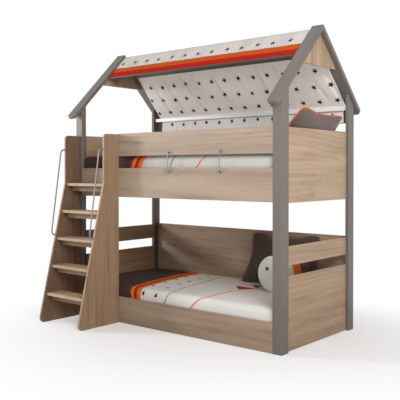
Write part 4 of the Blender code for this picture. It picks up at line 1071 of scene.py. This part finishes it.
# --- Stitching -------------------------------------------------------------------------------------
# Machine stitches in thread of the cloth's colour hold the canopy's strips and its ridge seam. A
# Geometry Nodes tree lays them along each seam, every stitch a little askew.
stitch_row, given = new_group("stitch row", "GeometryNodeTree", {
    "Line": "Geometry", "Pitch": "Float", "Length": "Float", "Radius": "Float", "Seed": "Int",
    "Material": "Material",
})
spots = stitch_row.nodes.new("GeometryNodeResampleCurve")
spots.mode = "LENGTH"
feed(spots, {"Curve": make("GeometryNodeMeshToCurve", {"Mesh": given["Line"]}), "Length": given["Pitch"]})
thread_values = {"Vertices": 6, "Radius": given["Radius"], "Depth": given["Length"]}
stitch = make("GeometryNodeMeshCylinder", thread_values)
tangent = Term(stitch_row, stitch_row.nodes.new("GeometryNodeInputTangent").outputs[0])
line_turn = make("FunctionNodeAlignRotationToVector", {"Vector": tangent}, axis="Z")
sway_values = {0: (-0.06, -0.06, 0.0), 1: (0.06, 0.06, 0.0), "Seed": given["Seed"]}
sway = make("FunctionNodeRandomValue", sway_values, data_type="FLOAT_VECTOR")
own_turn = make("FunctionNodeEulerToRotation", {0: sway})
end_row(stitch_row, Term(stitch_row, spots.outputs[0]), stitch, line_turn, own_turn, given["Material"])

THREAD_TINTS = {"white": tint(222, 217, 210), "orange": tint(206, 92, 34), "red": tint(176, 34, 24)}
TWIST = {"scales": (1500.0,) * 3, "detail": 1.0, "bump": (0.3, 0.0002), "Roughness": 0.7}
threads = {}
for name, colour in THREAD_TINTS.items():
    threads[name] = fine_finish(f"{name} thread", Base_Color=colour, **TWIST)
STITCH = {"Pitch": 0.0052, "Length": 0.0036, "Radius": 0.0004}
STITCH_LIFT = 0.0003


def stitches(name, line, seed, thread="white"):
    """A row of machine stitches along points, riding on the frame."""
    mesh = bpy.data.meshes.new(name)
    mesh.from_pydata([tuple(point) for point in line], [(k, k + 1) for k in range(len(line) - 1)], [])
    piece = add_object(name, mesh)
    bake(piece, stitch_row, {**STITCH, "Seed": seed, "Material": threads[thread]})
    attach(piece, "frame")


def line_at(run, outward):
    """The canopy's points at that run from the ridge, a little off its face."""
    line = []
    for column in canopy_columns:
        for (first, low_run), (second, high_run) in zip(column, column[1:]):
            if low_run <= run < high_run:
                spot = first.lerp(second, (run - low_run) / (high_run - low_run))
                line.append(spot + outward * STITCH_LIFT)
    return line


front_out = Vector((0, -1, 1)).normalized()
rear_out = Vector((0, 1, 1)).normalized()
for number, (run, outward, thread) in enumerate((
    (HEM_SEAMS[0] - 0.0065, front_out, "red"), (HEM_SEAMS[1] - 0.006, front_out, "orange"),
    (-0.008, front_out, "white"), (0.006 - front_down, front_out, "red"), (0.008, rear_out, "white"),
)):
    stitches(f"canopy_stitches_{number + 1}", line_at(run, outward), 11 + number, thread)

# --- Valance ---------------------------------------------------------------------------------------
# A gathered strip of the same starred cotton, hemmed along its lower edge and sewn to the canopy's
# tail along its upper one, so that it hangs from the white rail.
valance_print, shader, place = new_material("valance cotton", **COTTON)
x, y = split(place)[:2]
colour = mix(stars_at(x - 0.029, y - 0.034, 0.1406, 0.3, 0.024), CLOTH_WHITE, INK)
finish_thin_cloth(shader, colour, place, 0.10)

VALANCE_STEPS = 520
VALANCE_ROWS = 14
VALANCE_PLEAT = 0.0095
VALANCE_PITCH = 0.075
PUCKER_PITCH = 0.028
low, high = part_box("canopy_valance")
drop = high.z - low.z
valance_xs = [low.x + (high.x - low.x) * i / VALANCE_STEPS for i in range(VALANCE_STEPS + 1)]


def pleat_at(x, down):
    """Gathers of the valance, 0 to 1, tight at the top and open at the bottom."""
    turn = 2 * pi * x / VALANCE_PITCH + 1.3 * sin(x * 9) + 0.4 * down
    small = 2 * pi * x / PUCKER_PITCH + 2.1 * sin(x * 13)
    return 0.5 + down * (0.34 * cos(turn) + 0.10 * cos(1.7 * turn + 1)) + 0.06 * cos(small)


def valance_point(x, row):
    down = min(1, (VALANCE_ROWS - row) / VALANCE_ROWS * 1.2)
    return Vector((x, low.y + 0.002 + VALANCE_PLEAT * pleat_at(x, down), low.z + drop * row / VALANCE_ROWS))


valance_lines = [[valance_point(x, row) for row in range(VALANCE_ROWS + 1)] for x in valance_xs]
valance_runs = [drop * (VALANCE_ROWS - row) / VALANCE_ROWS for row in range(VALANCE_ROWS + 1)]
valance = cloth_sheet("canopy_valance_strip", valance_lines, valance_runs, valance_xs, valance_print)
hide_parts("canopy_valance")
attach(valance, "frame")
for number, row in enumerate((1, VALANCE_ROWS - 1)):
    line = [column[row] - Vector((0, STITCH_LIFT, 0)) for column in valance_lines]
    stitches(f"valance_stitches_{number + 1}", line, 21 + number)

# --- Floor, light and camera -----------------------------------------------------------------------
# A pale studio floor that fades into a white surround, a large soft lamp from the front right and a
# small one from the left that draws the stair's shadow, and the camera solved from straight edges.
FLOOR_HALF = 9.0
WHITE_LIGHT = (1.0, 1.0, 1.0, 1.0)
floor_paint, shader, place = new_material("floor")
tree = place.tree
x, y = split(place)[:2]
from_x, from_y = x - 0.5, y * 1.25 + 0.15
fade = ease(calc("SQRT", from_x * from_x + from_y * from_y), 0.8, 2.5, 0.18, 1.0)
viewed = Term(tree, add_node(tree, "ShaderNodeLightPath").outputs["Is Camera Ray"])
feed(shader, {
    "Roughness": ease(scatter(place, (40.0, 40.0, 1.0), 2.0), 0.3, 0.7, 0.86, 0.94),
    "Base Color": mix(viewed, (0.30, 0.29, 0.28, 1.0), (0.97, 0.975, 0.985, 1.0)),
})
white = Term(tree, add_node(tree, "ShaderNodeEmission", {"Color": WHITE_LIGHT, "Strength": 1.0}).outputs[0])
mixed = make("ShaderNodeMixShader", {0: fade, 1: Term(tree, shader.outputs[0]), 2: white})
feed(tree.nodes["Material Output"], {"Surface": mixed})
floor_mesh = bpy.data.meshes.new("floor")
floor_corners = [(x * FLOOR_HALF, y * FLOOR_HALF, 0) for x, y in ((-1, -1), (1, -1), (1, 1), (-1, 1))]
floor_mesh.from_pydata(floor_corners, [], [(0, 1, 2, 3)])
floor = add_object("floor", floor_mesh, floor_paint)

world = bpy.data.worlds.new("studio")
world.use_nodes = True
bpy.context.scene.world = world
tree = world.node_tree
path = add_node(tree, "ShaderNodeLightPath")
camera_ray, glossy_ray, through_ray = [
    Term(tree, path.outputs[f"Is {kind} Ray"]) for kind in ("Camera", "Glossy", "Transmission")
]
seen = calc("MAXIMUM", camera_ray, calc("MAXIMUM", glossy_ray, through_ray))
feed(tree.nodes["Background"], {"Strength": seen * 0.58 + 0.42, "Color": WHITE_LIGHT})


def stand(name, data, place, direction):
    """A lamp or camera at that place, looking that way."""
    holder = add_object(name, data)
    holder.location = place
    holder.rotation_euler = Vector(direction).to_track_quat("-Z", "Y").to_euler()
    return holder


def lamp(name, place, aim, size, power, colour):
    data = bpy.data.lights.new(name, "AREA")
    data.shape = "RECTANGLE"
    data.size, data.size_y = size
    data.energy = power
    data.color = colour
    holder = stand(name, data, place, Vector(aim) - Vector(place))


lamp("key", (4.3, -2.9, 3.3), (0.2, 0, 1.3), (2.2, 2.2), 190, (1.0, 0.985, 0.965))
lamp("left", (-5.0, -3.2, 2.3), (-0.2, -0.2, 1.5), (0.9, 1.1), 135, (0.98, 0.99, 1.0))

camera_data = bpy.data.cameras.new("camera")
camera_data.lens = 61.42
camera_data.sensor_width = 36
camera_data.shift_y = -0.0539
camera_data.dof.use_dof = False
CAMERA_PLACE = (3.5109, -4.1273, 1.2295)
CAMERA_AIM = (-0.64195, 0.76664, -0.01250)
bpy.context.scene.camera = stand("camera", camera_data, CAMERA_PLACE, CAMERA_AIM)
bpy.context.scene.view_settings.view_transform = "Standard"
